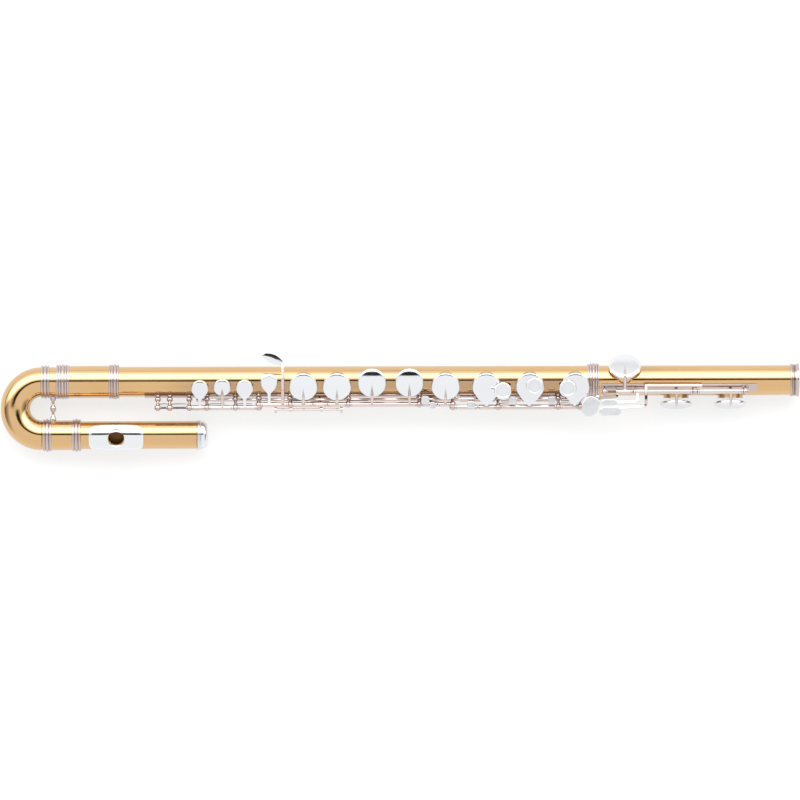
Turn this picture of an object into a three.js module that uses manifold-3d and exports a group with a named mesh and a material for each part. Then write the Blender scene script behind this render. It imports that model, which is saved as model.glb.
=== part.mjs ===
// Alto flute with a curved head joint, lying on its back with the keys up.
// Millimetres. X runs along the body towards the foot, Z is up, -Y is the player's side.
import * as THREE from 'three';
import { mergeVertices } from 'three/addons/utils/BufferGeometryUtils.js';
import Module from 'manifold-3d';

const wasm = await Module();
wasm.setup();

// ---------- driving dimensions ----------
const GAP = 0.3; // clearance between pieces that touch or run on each other
const DEG = Math.PI / 180;

// tubes
const BORE = 26.0;
const WALL = 0.7;
const TUBE_R = BORE / 2 + WALL; // outside radius of body, foot and upper head tube
const TUBE_SIDES = 24;
const HOLE_SIDES = 12;
const LEG_R = 12.6; // outside radius of the lower head tube
const SOCKET_R = LEG_R + 0.9; // outside radius of the sleeve that joins it to the bend
const LEG_SPACING = 48.0; // between the axes of the two head legs
const BEND_STEPS = 10;

// stations along X, measured from the centre of the U bend
const TENON_INSET = 26.0; // how far the head tenon reaches into the barrel sleeve
const BARREL_START = 13.5;
const BARREL_LENGTH = 55.8;
const SOCKET_START = 4.2;
const SOCKET_LENGTH = 28.8;
const BAND_LENGTH = 4.0;
const BAND_RISE = 1.3;
const HEAD_LENGTH = 139.5; // end of the lower head tube, where the crown sits
const CROWN_LENGTH = 9.5;
const BODY_END = 492.9;
const FERRULE_LENGTH = 9.4;
const FOOT_END = 674.5;
const END_RING_LENGTH = 6.6;

// mouth
const MOUTH_X = 67.0;
const MOUTH_TURN = 11.5 * DEG;
const MOUTH_HOLE = [13.2, 11.4];
const LIP_SIZE = [49.0, 27.0];
const LIP_THICK = 1.6;

// tone holes and pad cups
const PAD_PLANE = 16.3; // from the tube's axis to the pad face of a shut key
const CUP_DEPTH = 3.6;
const CUP_WALL = 0.8;
const CUP_ROOF = 1.1;
const PAD_PROUD = 0.5;
const CUP_SIDES = 16;
const CHIMNEY_WALL = 0.8;
const LAP = 2.1; // how far a cup reaches past its chimney
const FOOT_LAP = 3.1;
const SMALL = { chimney: 5.6, cup: 5.6 + LAP };
const LARGE = { chimney: 10.6, cup: 10.6 + LAP };
const BACK = { chimney: 6.9, cup: 6.9 + LAP };
const FOOT = { chimney: 11.4, cup: 11.4 + FOOT_LAP };

// hinge lines as [y, z]; the hinges run along X
const UPPER_LINE = [-23.6, 10.1];
const LEFT_LINE = [-21.0, 10.8];
const RIGHT_LINE = [-23.6, 10.1];
const TRILL_LINE = [-16.6, 6.2];
const FOOT_LINE = [-10.1, 19.6];
const STEEL_R = 0.9;
const KEY_TUBE_R = 2.3;
const THIN_TUBE_R = 1.5;
const POST_HEAD_R = 2.7;
const POST_HEAD_LENGTH = 3.0;
const POST_NECK_R = 1.1;
const TRILL_BEAD_R = 3.0;
const HINGE_SIDES = 8;
const RIB_THICK = 0.9;
const POST_BASE = TUBE_R + GAP + RIB_THICK / 2; // posts start inside the rib
const RIB_ANGLE = 66 * DEG;
const RIB_WIDTH = 7.0;
const FOOT_RIB_ANGLE = 27 * DEG;

// key travel
const OPEN = 8 * DEG;
const FOOT_OPEN = 11 * DEG;

// ---------- materials ----------
const metal = (color, roughness) => new THREE.MeshStandardMaterial({ color, roughness, metalness: 1 });
const lacquer = metal(0xd9a257, 0.22);
const silver = metal(0xe9ecef, 0.18);
const nickel = metal(0xd9cfca, 0.24);
const steel = metal(0x8f9296, 0.35);
const felt = new THREE.MeshStandardMaterial({ color: 0xe4cda4, roughness: 0.9, metalness: 0 });
const cork = new THREE.MeshStandardMaterial({ color: 0xb98a58, roughness: 0.95, metalness: 0 });

// ---------- solids ----------
// Closed geometry to a solid: corners merged, slivers at the poles dropped, faces pointing out.
function solid(geometry) {
  const bare = geometry.index ? geometry.toNonIndexed() : geometry.clone();
  bare.deleteAttribute('normal');
  bare.deleteAttribute('uv');
  const merged = mergeVertices(bare, 1e-4);
  const corners = merged.attributes.position;
  const [a, b, c] = [new THREE.Vector3(), new THREE.Vector3(), new THREE.Vector3()];
  const triangles = [];
  let volume = 0;
  for (let i = 0; i < merged.index.count; i += 3) {
    const [p, q, r] = [0, 1, 2].map((k) => merged.index.getX(i + k));
    if (p === q || q === r || r === p) continue;
    triangles.push([p, q, r]);
    a.fromBufferAttribute(corners, p);
    b.fromBufferAttribute(corners, q);
    c.fromBufferAttribute(corners, r);
    volume += a.dot(b.cross(c));
  }
  const outward = triangles.map(([p, q, r]) => (volume < 0 ? [r, q, p] : [p, q, r]));
  return new wasm.Manifold(new wasm.Mesh({
    numProp: 3,
    vertProperties: new Float32Array(corners.array),
    triVerts: new Uint32Array(outward.flat()),
  }));
}

function geometryOf(manifold) {
  const mesh = manifold.getMesh();
  const geometry = new THREE.BufferGeometry();
  geometry.setAttribute('position', new THREE.BufferAttribute(mesh.vertProperties, 3));
  geometry.setIndex(new THREE.BufferAttribute(mesh.triVerts, 1));
  geometry.computeVertexNormals();
  return geometry;
}

const joined = (pieces) => pieces.reduce((all, piece) => all.add(piece));

// Rod along X at [y, z].
function rod(radius, from, to, [y, z] = [0, 0], sides = HINGE_SIDES) {
  const geometry = new THREE.CylinderGeometry(radius, radius, to - from, sides);
  geometry.rotateZ(-Math.PI / 2).translate((from + to) / 2, y, z);
  return solid(geometry);
}

const pipe = (outer, inner, from, to, line, sides) =>
  rod(outer, from, to, line, sides).subtract(rod(inner, from - 1, to + 1, line, sides));

// Turned piece: profile of [radius, height] points about Z, turned by angle about X, centred at x.
function turned(profile, x, angle, sides) {
  const points = profile.map(([radius, height]) => new THREE.Vector2(radius, height));
  const geometry = new THREE.LatheGeometry(points, sides);
  geometry.rotateX(Math.PI / 2 + angle).translate(x, 0, 0);
  return solid(geometry);
}

// Turned ring about X: outline of [x, radius] points, closed on itself.
function beadRing(outline, [y, z] = [0, 0], sides = TUBE_SIDES) {
  const points = outline.map(([x, radius]) => new THREE.Vector2(radius, x));
  points.push(points[0].clone());
  const geometry = new THREE.LatheGeometry(points, sides);
  geometry.rotateZ(-Math.PI / 2).translate(0, y, z);
  return solid(geometry);
}

// Straight bar with a flat section between two points; up is the direction of its thickness.
function bar(from, to, width, thick, up = [0, 0, 1]) {
  const start = new THREE.Vector3(...from);
  const end = new THREE.Vector3(...to);
  const along = end.clone().sub(start);
  const length = along.length();
  along.normalize();
  const side = new THREE.Vector3(...up).cross(along).normalize();
  const top = along.clone().cross(side);
  const geometry = new THREE.BoxGeometry(length, width, thick);
  geometry.applyMatrix4(new THREE.Matrix4().makeBasis(along, side, top));
  const middle = start.add(end).multiplyScalar(0.5);
  geometry.translate(middle.x, middle.y, middle.z);
  return solid(geometry);
}

function rounded(width, height, radius) {
  const shape = new THREE.Shape();
  const w = width / 2;
  const h = height / 2;
  shape.moveTo(w, 0);
  shape.lineTo(w, h - radius);
  shape.absarc(w - radius, h - radius, radius, 0, Math.PI / 2);
  shape.absarc(radius - w, h - radius, radius, Math.PI / 2, Math.PI);
  shape.absarc(radius - w, radius - h, radius, Math.PI, Math.PI * 1.5);
  shape.absarc(w - radius, radius - h, radius, Math.PI * 1.5, Math.PI * 2);
  shape.closePath();
  return shape;
}

// Flat plate of a given outline, lying in XY, thickness upwards from z.
function plate(shape, x, y, z, thick, curveSegments = 4) {
  const geometry = new THREE.ExtrudeGeometry(shape, { depth: thick, bevelEnabled: false, curveSegments });
  geometry.translate(x, y, z);
  return solid(geometry);
}

// ---------- scene graph ----------
const flute = new THREE.Group();
const foot = new THREE.Group();
const head = new THREE.Group();
const assembly = new THREE.Group();
assembly.add(head, foot);
flute.add(assembly);

function piece(name, manifold, material, parent = assembly) {
  const mesh = new THREE.Mesh(geometryOf(manifold), material);
  mesh.name = name;
  parent.add(mesh);
  return mesh;
}

// ---------- head joint ----------
const LEG_LINE = [-LEG_SPACING, 0];

function halfTorus(outer, inner) {
  const curve = new THREE.CatmullRomCurve3([], false);
  const centre = -LEG_SPACING / 2;
  curve.getPoint = (t, target = new THREE.Vector3()) => {
    const angle = Math.PI / 2 + t * Math.PI;
    return target.set(Math.cos(angle) * LEG_SPACING / 2, centre + Math.sin(angle) * LEG_SPACING / 2, 0);
  };
  const sweep = (radius) => {
    const section = new THREE.Shape();
    section.absarc(0, 0, radius, 0, Math.PI * 2);
    return solid(new THREE.ExtrudeGeometry(section, {
      steps: BEND_STEPS, extrudePath: curve, curveSegments: TUBE_SIDES / 4,
    }));
  };
  const past = 2.0;
  const core = joined([
    sweep(inner),
    rod(inner, -0.01, past, [0, 0], TUBE_SIDES),
    rod(inner, -0.01, past, LEG_LINE, TUBE_SIDES),
  ]);
  return sweep(outer).subtract(core);
}

// Outer line of a raised band, as [x, radius] points from left to right.
const beads = (from, length, base, rise) => [
  [from, base], [from + length * 0.15, base + rise], [from + length * 0.85, base + rise], [from + length, base],
];

// Ring with a plain bore and a given outer line.
const ringOf = (bore, outer, line, sides = TUBE_SIDES) => beadRing([
  ...outer, [outer[outer.length - 1][0], bore], [outer[0][0], bore],
], line, sides);

function buildHead() {
  piece('u_bend', halfTorus(TUBE_R - 0.1, TUBE_R - WALL), lacquer, head);
  const tenonEnd = BARREL_START + TENON_INSET;
  const tenon = pipe(TUBE_R - 0.8, TUBE_R - 1.5, GAP, tenonEnd, [0, 0], TUBE_SIDES);
  const collar = pipe(TUBE_R - 0.1, TUBE_R - 1.2, GAP, BARREL_START - GAP, [0, 0], TUBE_SIDES);
  piece('head_tenon', tenon.add(collar), lacquer, head);
  piece('upper_leg_ring', ringOf(TUBE_R + GAP, beads(2.2, 3.4, TUBE_R + 0.9, 0.8), [0, 0]), nickel, head);

  const legBore = LEG_R - WALL;
  const legStart = SOCKET_START + GAP;
  const mouthTube = pipe(LEG_R, legBore, legStart, HEAD_LENGTH, LEG_LINE, TUBE_SIDES);
  const mouth = turned([[0, 0], [1, 0], [1, 30], [0, 30]], 0, 0, 24);
  const hole = geometryOf(mouth);
  hole.scale((MOUTH_HOLE[0] + 0.8) / 2, (MOUTH_HOLE[1] + 0.8) / 2, 1);
  hole.rotateX(MOUTH_TURN).translate(MOUTH_X, -LEG_SPACING, 0);
  piece('mouth_tube', mouthTube.subtract(solid(hole)), lacquer, head);

  const socketEnd = SOCKET_START + SOCKET_LENGTH;
  const socketLine = [
    [GAP, SOCKET_R],
    ...beads(SOCKET_START, BAND_LENGTH, SOCKET_R + 0.1, BAND_RISE),
    ...beads(socketEnd - BAND_LENGTH, BAND_LENGTH, SOCKET_R + 0.1, BAND_RISE),
  ];
  const socket = ringOf(LEG_R + GAP, socketLine, LEG_LINE);
  piece('mouth_socket', socket, lacquer, head);

  // lip plate: a curved saddle on a riser, pierced by the mouth hole
  const lipR = LEG_R + 2.4;
  const lipShell = pipe(lipR + LIP_THICK, lipR, MOUTH_X - LIP_SIZE[0] / 2, MOUTH_X + LIP_SIZE[0] / 2, [0, 0], 40);
  const stampDepth = 30;
  const stamp = plate(rounded(LIP_SIZE[0], LIP_SIZE[1] + 2, 9), MOUTH_X, 0, 0, stampDepth, 5);
  const riser = turned([[0, LEG_R + GAP], [9, LEG_R + GAP], [8.4, lipR + 1], [0, lipR + 1]], MOUTH_X, 0, 24)
    .subtract(rod(LEG_R + GAP, 0, HEAD_LENGTH, [0, 0], TUBE_SIDES));
  const chimney = geometryOf(turned([[0, 0], [1, 0], [1, 30], [0, 30]], 0, 0, 24));
  chimney.scale(MOUTH_HOLE[0] / 2, MOUTH_HOLE[1] / 2, 1).translate(MOUTH_X, 0, 0);
  const lip = geometryOf(lipShell.intersect(stamp).add(riser).subtract(solid(chimney)));
  lip.rotateX(MOUTH_TURN).translate(0, -LEG_SPACING, 0);
  piece('lip_plate', solid(lip), silver, head);

  // stopper: cork on a plated screw that the crown draws in and out
  const stopperX = 86.0;
  const corkEnd = stopperX + 16;
  const stopperR = legBore - GAP;
  const screwR = 2.0;
  const screw = joined([
    rod(stopperR, stopperX, stopperX + 2, LEG_LINE, 24),
    rod(screwR, stopperX, HEAD_LENGTH + 3, LEG_LINE, 12),
    rod(stopperR - 1, corkEnd + 2 * GAP, corkEnd + 2, LEG_LINE, 24),
  ]);
  piece('stopper_screw', screw, silver, head);
  piece('head_cork', pipe(stopperR, screwR + GAP, stopperX + 2 + GAP, corkEnd + GAP, LEG_LINE, 24), cork, head);

  const shoulder = HEAD_LENGTH + GAP;
  const crownTip = shoulder + CROWN_LENGTH;
  const crownProfile = [
    [0, shoulder], [LEG_R + 1.2, shoulder], [LEG_R + 1.2, shoulder + 1.8], [LEG_R + 0.5, shoulder + 2.2],
    [LEG_R + 0.5, shoulder + 3.4], [LEG_R - 0.4, shoulder + 5.4], [LEG_R - 3, crownTip - 1.2],
    [5, crownTip], [0, crownTip],
  ].map(([radius, x]) => new THREE.Vector2(radius, x));
  const crownShape = new THREE.LatheGeometry(crownProfile, 28);
  crownShape.rotateZ(-Math.PI / 2).translate(0, -LEG_SPACING, 0);
  const crownPlug = rod(legBore - GAP, HEAD_LENGTH - 6, shoulder + 1, LEG_LINE, 24);
  const thread = rod(screwR + GAP, HEAD_LENGTH - 8, HEAD_LENGTH + 4, LEG_LINE, 12);
  piece('crown', solid(crownShape).add(crownPlug).subtract(thread), silver, head);

  // turned brace between the two legs
  const braceX = 10.0;
  const near = -TUBE_R - GAP;
  const far = -LEG_SPACING + SOCKET_R + GAP;
  const span = near - far;
  const profile = [
    [0, 0], [2.9, 0], [2.9, 0.12], [1.9, 0.18], [1.4, 0.34], [2.6, 0.42], [2.9, 0.5],
    [2.6, 0.58], [1.4, 0.66], [1.9, 0.82], [2.9, 0.88], [2.9, 1], [0, 1],
  ].map(([radius, share]) => new THREE.Vector2(radius, far + share * span));
  const brace = new THREE.LatheGeometry(profile, 16);
  brace.translate(braceX, 0, 0);
  const clear = joined([
    rod(TUBE_R + GAP, -20, 60, [0, 0], TUBE_SIDES),
    rod(SOCKET_R + GAP, -20, 60, LEG_LINE, TUBE_SIDES),
    rod(SOCKET_R + BAND_RISE + 2 * GAP, -20, SOCKET_START + BAND_LENGTH + GAP, LEG_LINE, TUBE_SIDES),
  ]);
  piece('brace_post', solid(brace).subtract(clear), nickel, head);
}

// ---------- tubes of the body and foot ----------
function toneHoles(tubeSolid, holes) {
  const rim = PAD_PLANE - GAP;
  let result = tubeSolid;
  for (const { x, turn, size } of holes) {
    const radius = size.chimney;
    result = result.add(turned([[0, 4], [radius, 4], [radius, rim], [0, rim]], x, turn, HOLE_SIDES));
  }
  result = result.subtract(rod(BORE / 2, 0, FOOT_END + 10, [0, 0], TUBE_SIDES));
  for (const { x, turn, size } of holes) {
    const radius = size.chimney - CHIMNEY_WALL;
    result = result.subtract(turned([[0, 5], [radius, 5], [radius, 30], [0, 30]], x, turn, HOLE_SIDES));
  }
  return result;
}

const bodyHoles = {
  d_sharp_trill: { x: 142.4, turn: 21 * DEG, size: SMALL },
  d_trill: { x: 162.5, turn: 17.5 * DEG, size: SMALL },
  c_vent: { x: 182.7, turn: 16 * DEG, size: SMALL },
  c_sharp: { x: 204.7, turn: -1 * DEG, size: SMALL },
  b_flat: { x: 235.4, turn: 12.5 * DEG, size: LARGE },
  thumb: { x: 250.0, turn: 108 * DEG, size: BACK },
  a: { x: 265.6, turn: 12.5 * DEG, size: LARGE },
  g_upper: { x: 297.1, turn: 1 * DEG, size: LARGE },
  g_lower: { x: 330.7, turn: 1 * DEG, size: LARGE },
  g_sharp: { x: 350.0, turn: 108 * DEG, size: BACK },
  f_sharp: { x: 363.2, turn: 12.5 * DEG, size: LARGE },
  f: { x: 399.9, turn: 12.5 * DEG, size: LARGE },
  e: { x: 439.1, turn: 12.5 * DEG, size: LARGE },
  d: { x: 479.8, turn: 12.5 * DEG, size: LARGE },
};
const footHoles = {
  d_sharp: { x: 524.3, turn: -44 * DEG, size: FOOT },
  low_c_sharp: { x: 570.6, turn: 90 * DEG, size: FOOT },
  low_c: { x: 619.4, turn: 90 * DEG, size: FOOT },
};

function buildTubes() {
  const bodyStart = BARREL_START + TENON_INSET + GAP;
  const body = rod(TUBE_R, bodyStart, BODY_END, [0, 0], TUBE_SIDES);
  piece('body_tube', toneHoles(body, Object.values(bodyHoles)), lacquer);

  const barrelEnd = BARREL_START + BARREL_LENGTH;
  const sleeveR = TUBE_R + GAP;
  const skin = sleeveR + 0.8;
  const barrel = ringOf(sleeveR, [
    ...beads(BARREL_START, 11.2, skin, 0.8),
    ...beads(barrelEnd - 9, 9, skin, 0.8),
  ], [0, 0]);
  piece('barrel', barrel, lacquer);

  const footStart = BODY_END + GAP;
  const footTube = joined([
    rod(TUBE_R, footStart + FERRULE_LENGTH, FOOT_END, [0, 0], TUBE_SIDES),
    rod(BORE / 2 + 0.35, footStart, footStart + FERRULE_LENGTH + 1, [0, 0], TUBE_SIDES),
  ]);
  piece('foot_tube', toneHoles(footTube, Object.values(footHoles)), lacquer, foot);
  const ferrule = ringOf(sleeveR, beads(BODY_END - 2.2, FERRULE_LENGTH + 1.2, skin, 1.2), [0, 0]);
  piece('body_ferrule', ferrule, nickel);
  const ringStart = FOOT_END - 1.2;
  const ring = beadRing([
    [ringStart, TUBE_R + GAP], [ringStart + 2, TUBE_R + GAP], [ringStart + 2, BORE / 2 + 0.2],
    [FOOT_END + END_RING_LENGTH, BORE / 2 + 0.2], [FOOT_END + END_RING_LENGTH, TUBE_R + 1.3],
    [FOOT_END + END_RING_LENGTH - 1.8, TUBE_R + 1.3], [FOOT_END + 2.4, TUBE_R + 0.7],
    [ringStart + 1.6, TUBE_R + 1.3], [ringStart, TUBE_R + 1.3],
  ]);
  piece('foot_end_ring', ring, nickel, foot);
}

// ---------- ribs and posts ----------
// A post: a bead at the trill line, a neck, and a head bored for each steel it holds.
function post(x, lines, trill = true) {
  const half = POST_HEAD_LENGTH / 2;
  const pieces = [];
  const thick = POST_NECK_R * 2;
  const neck = (from, to) => pieces.push(bar([x, ...from], [x, ...to], thick, thick, [1, 0, 0]));
  const base = ([y, z]) => [y, z].map((value) => value * POST_BASE / Math.hypot(y, z));
  for (const line of lines) {
    pieces.push(rod(POST_HEAD_R, x - half, x + half, line));
    neck(trill ? TRILL_LINE : base(line), line);
  }
  if (trill) {
    pieces.push(rod(TRILL_BEAD_R, x - half, x + half, TRILL_LINE));
    neck(base(TRILL_LINE), TRILL_LINE);
  }
  return joined(pieces);
}

function ribStrip(from, to, angle) {
  const inner = TUBE_R + GAP;
  const shell = pipe(inner + RIB_THICK, inner, from, to, [0, 0], TUBE_SIDES);
  const box = new THREE.BoxGeometry(to - from + 2, RIB_WIDTH, 12);
  box.translate((from + to) / 2, 0, inner).rotateX(angle);
  return shell.intersect(solid(box));
}

// Room round every chimney, so that a rib stops short of it.
const chimneyRoom = (holes) => joined(holes.map(({ x, turn, size }) => {
  const radius = size.chimney + GAP;
  return turned([[0, 1], [radius, 1], [radius, 24], [0, 24]], x, turn, HOLE_SIDES);
}));

function steelBores(spans) {
  return joined(spans.map(([from, to, line, radius = STEEL_R + GAP]) =>
    rod(radius, from - 4, to + 4, line)));
}

const upperPosts = [104.4, 115.2, 132.8, 148.5, 174.2];
const leftStart = 195.3;
const leftPosts = [223.5, 275.5, 339.3];
const rightStart = 369.5;
const rightPosts = [410.2, 464.4, 484.0];
const footPosts = [506.0, 587.2, 632.5];

function buildFrames() {
  const end = (list) => list[list.length - 1];
  const half = POST_HEAD_LENGTH / 2;
  const bodyRoom = chimneyRoom(Object.values(bodyHoles));
  const trillBore = [upperPosts[0], end(rightPosts), TRILL_LINE, THIN_TUBE_R + GAP];

  const leftRib = joined([
    ribStrip(92.5, rightStart + 3.4, RIB_ANGLE),
    ...upperPosts.map((x) => post(x, [UPPER_LINE])),
    post(leftStart, [UPPER_LINE, LEFT_LINE]),
    ...leftPosts.map((x) => post(x, [LEFT_LINE])),
    post(rightStart, [LEFT_LINE, RIGHT_LINE]),
  ]);
  const leftBores = steelBores([
    [upperPosts[0], leftStart - 2, UPPER_LINE],
    [leftStart + 2, rightStart - 2, LEFT_LINE],
    [rightStart, end(rightPosts), RIGHT_LINE],
    trillBore,
  ]);
  piece('left_hand_rib', leftRib.subtract(bodyRoom).subtract(leftBores), nickel);

  const rightRib = joined([
    ribStrip(rightStart + 3.8, 487.5, RIB_ANGLE),
    ...rightPosts.map((x) => post(x, [RIGHT_LINE])),
  ]);
  const rightBores = steelBores([[rightStart, end(rightPosts), RIGHT_LINE], trillBore]);
  piece('right_hand_rib', rightRib.subtract(bodyRoom).subtract(rightBores), nickel);

  const footRib = joined([
    ribStrip(503.0, 643.0, FOOT_RIB_ANGLE),
    ...footPosts.map((x) => post(x, [FOOT_LINE], false)),
  ]);
  const footBore = steelBores([[footPosts[0], end(footPosts), FOOT_LINE]]);
  const footRoom = chimneyRoom(Object.values(footHoles));
  piece('foot_rib', footRib.subtract(footRoom).subtract(footBore), nickel, foot);

  piece('upper_steel', rod(STEEL_R, upperPosts[0] - half, leftStart + half, UPPER_LINE), steel);
  piece('left_hand_steel', rod(STEEL_R, leftStart - half, rightStart + half, LEFT_LINE), steel);
  piece('right_hand_steel', rod(STEEL_R, rightStart - half, end(rightPosts) + half, RIGHT_LINE), steel);
  piece('foot_steel', rod(STEEL_R, footPosts[0] - half, end(footPosts) + half, FOOT_LINE), steel, foot);
}

// ---------- keys ----------
const CEILING = PAD_PLANE + CUP_DEPTH - CUP_ROOF;
const CUP_TOP = PAD_PLANE + CUP_DEPTH;

function padCup({ x, turn, size }) {
  const outer = size.cup;
  const inner = outer - CUP_WALL;
  const rim = PAD_PLANE + PAD_PROUD;
  return turned([
    [0, CEILING], [inner, CEILING], [inner, rim], [outer, rim],
    [outer, CUP_TOP - 1.1], [outer - 1.3, CUP_TOP - 0.1], [0, CUP_TOP + 0.3],
  ], x, turn, CUP_SIDES);
}

function padDisc({ x, turn, size }) {
  const radius = size.cup - CUP_WALL - GAP;
  const top = CEILING - GAP;
  return turned([[0, PAD_PLANE], [radius, PAD_PLANE], [radius, top], [0, top]], x, turn, CUP_SIDES);
}

// Arm from the hinge to the near edge of a cup, then over its top to a point past the middle.
function cupArm({ x, turn, size }, line, armX = x, reach = 0.1) {
  const normal = [-Math.sin(turn), Math.cos(turn)];
  let side = [-Math.cos(turn), -Math.sin(turn)];
  const towards = side[0] * (line[0] - normal[0] * CUP_TOP) + side[1] * (line[1] - normal[1] * CUP_TOP);
  if (towards < 0) side = side.map((value) => -value);
  const at = (radius, height) => normal.map((value, k) => value * height + side[k] * radius);
  const edge = [armX, ...at(size.cup - 0.5, CUP_TOP - 0.8)];
  const rise = [armX + (x - armX) * 0.3, ...at(size.cup - 0.4, CUP_TOP - 0.2)];
  const tip = [x, ...at(size.cup * reach, CUP_TOP + 0.4)];
  const up = [0, ...normal];
  return joined([bar([armX, ...line], edge, 2.6, 1.5, up), bar(rise, tip, 2.6, 1.3, up)]);
}

// A key: everything is drawn shut, then hung on its hinge line and turned to where it rests.
function key(name, line, tubes, pieces, { pads = {}, rest = 0, radius = KEY_TUBE_R, bore, parent } = {}) {
  const hole = bore ?? STEEL_R + GAP;
  const shell = joined([...tubes.map(([from, to, r = radius]) => rod(r, from, to, line)), ...pieces]);
  const span = tubes.flatMap(([from, to]) => [from, to]);
  const bored = hole === 0 ? shell : shell.subtract(rod(hole, Math.min(...span) - 1, Math.max(...span) + 1, line));
  const entries = [[name, bored, silver], ...Object.entries(pads).map(([pad, disc]) => [pad, disc, felt])];
  for (const [node, shape, material] of entries) {
    const mesh = piece(node, shape, material, parent);
    mesh.geometry.translate(0, -line[0], -line[1]);
    mesh.position.set(0, line[0], line[1]);
    mesh.rotation.x = rest;
  }
}

function cupKey(name, hole, line, from, to, options = {}) {
  const { extra = [], armX, reach, ...rest } = options;
  key(name, line, [[from, to]], [padCup(hole), cupArm(hole, line, armX, reach), ...extra], {
    pads: { [`${name.replace(/_key$/, '')}_pad`]: padDisc(hole) }, ...rest,
  });
}

// Arm of a cup on the player's side, hung outside the trill rods.
function backArm(hole, line) {
  const normal = [-Math.sin(hole.turn), Math.cos(hole.turn)];
  const seat = normal.map((value) => value * (CUP_TOP + 0.2));
  const outside = seat[0] - 2.484;
  return joined([
    bar([hole.x, ...line], [hole.x, outside, line[1]], 3, 1.6, [0, 0, 1]),
    bar([hole.x, outside, line[1]], [hole.x, outside, seat[1] + 3], 3, 1.6, [0, 1, 0]),
    bar([hole.x, outside, seat[1] + 3.6], [hole.x, ...seat], 3, 1.5, [0, ...normal]),
  ]);
}

function buildBodyKeys() {
  const body = bodyHoles;
  cupKey('d_sharp_trill_key', body.d_sharp_trill, UPPER_LINE, 134.8, 146.6);
  cupKey('d_trill_key', body.d_trill, UPPER_LINE, 150.5, 172.3);
  cupKey('c_vent_key', body.c_vent, UPPER_LINE, 176.1, 193.4, { rest: OPEN });

  const overTube = [
    [-21.0, 13.0], [-15.5, 18.6], [-6.0, 22.0], [4.0, 22.0], [12.5, 19.4], [17.5, 15.2],
  ];
  const touchX = 216.9;
  const strap = overTube.slice(1).map((point, k) =>
    bar([touchX, ...overTube[k]], [touchX, ...point], 2.6, 1.5, [0, point[0] + overTube[k][0], 26]));
  const spatula = bar([touchX + 1.3, 17.5, 15.4], [198.0, 24.6, 13.2], 7.5, 1.4, [0, 0.1, 1]);
  cupKey('c_sharp_key', body.c_sharp, LEFT_LINE, 197.3, 221.5, {
    rest: OPEN, extra: [bar([touchX, ...LEFT_LINE], [touchX, -21, 13.6], 2.6, 1.5, [0, 1, 0]), ...strap, spatula],
  });
  cupKey('b_flat_key', body.b_flat, LEFT_LINE, 225.5, 243.6, { rest: OPEN });
  key('thumb_key', LEFT_LINE, [[244.2, 256.4]], [padCup(body.thumb), backArm(body.thumb, LEFT_LINE)], {
    pads: { thumb_pad: padDisc(body.thumb) }, rest: -OPEN,
  });
  cupKey('a_key', body.a, LEFT_LINE, 257.0, 273.5, { rest: OPEN });
  key('g_key', LEFT_LINE, [[277.5, 337.3]], [
    padCup(body.g_upper), cupArm(body.g_upper, LEFT_LINE), padCup(body.g_lower), cupArm(body.g_lower, LEFT_LINE),
  ], { pads: { g_upper_pad: padDisc(body.g_upper), g_lower_pad: padDisc(body.g_lower) }, rest: OPEN });

  const gSharpTouch = [
    bar([344.9, -20.4, 11.4], [344.9, -18.6, 15.0], 3.0, 1.6, [0, 1, 0]),
    plate(rounded(7.2, 6.6, 1.2), 344.9, -17.3, 14.5, 1.3),
    plate(rounded(6.0, 6.0, 2.4), 351.6, -22.2, 12.6, 1.5),
  ];
  key('g_sharp_key', LEFT_LINE, [[341.3, 355.5]],
    [padCup(body.g_sharp), backArm(body.g_sharp, LEFT_LINE), ...gSharpTouch],
    { pads: { g_sharp_pad: padDisc(body.g_sharp) } });
  cupKey('f_sharp_key', body.f_sharp, LEFT_LINE, 356.1, 367.5, { rest: OPEN });

  const sideTouch = [
    bar([386, ...RIGHT_LINE], [386, -22.4, 14.2], 3.0, 1.6, [0, 1, 0]),
    plate(rounded(7.2, 5.6, 1.6), 386, -21.4, 13.6, 1.4),
  ];
  key('b_flat_lever', RIGHT_LINE, [[371.5, 391.9]], sideTouch);

  // finger buttons stand on three of the right-hand cups
  const buttonTop = CUP_TOP + 0.9;
  const button = (x, y, z, footX, footY) => joined([
    plate(rounded(15.4, 15.4, 7.6), x, y, z, 1.8, 5),
    bar([footX, footY, z - 1.2], [x, y, z + 0.4], 5, 1.6, [0, 0, 1]),
  ]);
  cupKey('f_key', body.f, RIGHT_LINE, 392.5, 408.2, {
    rest: OPEN, extra: [button(414.5, -7.5, buttonTop, 404, -6.4)],
  });
  cupKey('e_key', body.e, RIGHT_LINE, 412.2, 462.4, {
    rest: OPEN, armX: 438, extra: [button(443.0, -3.4, buttonTop, 440, -4.4)],
  });
  cupKey('d_key', body.d, RIGHT_LINE, 466.4, 482.0, {
    rest: OPEN, armX: 478.8, extra: [button(472.8, -5.6, buttonTop, 476, -5.4)],
  });
}

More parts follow.
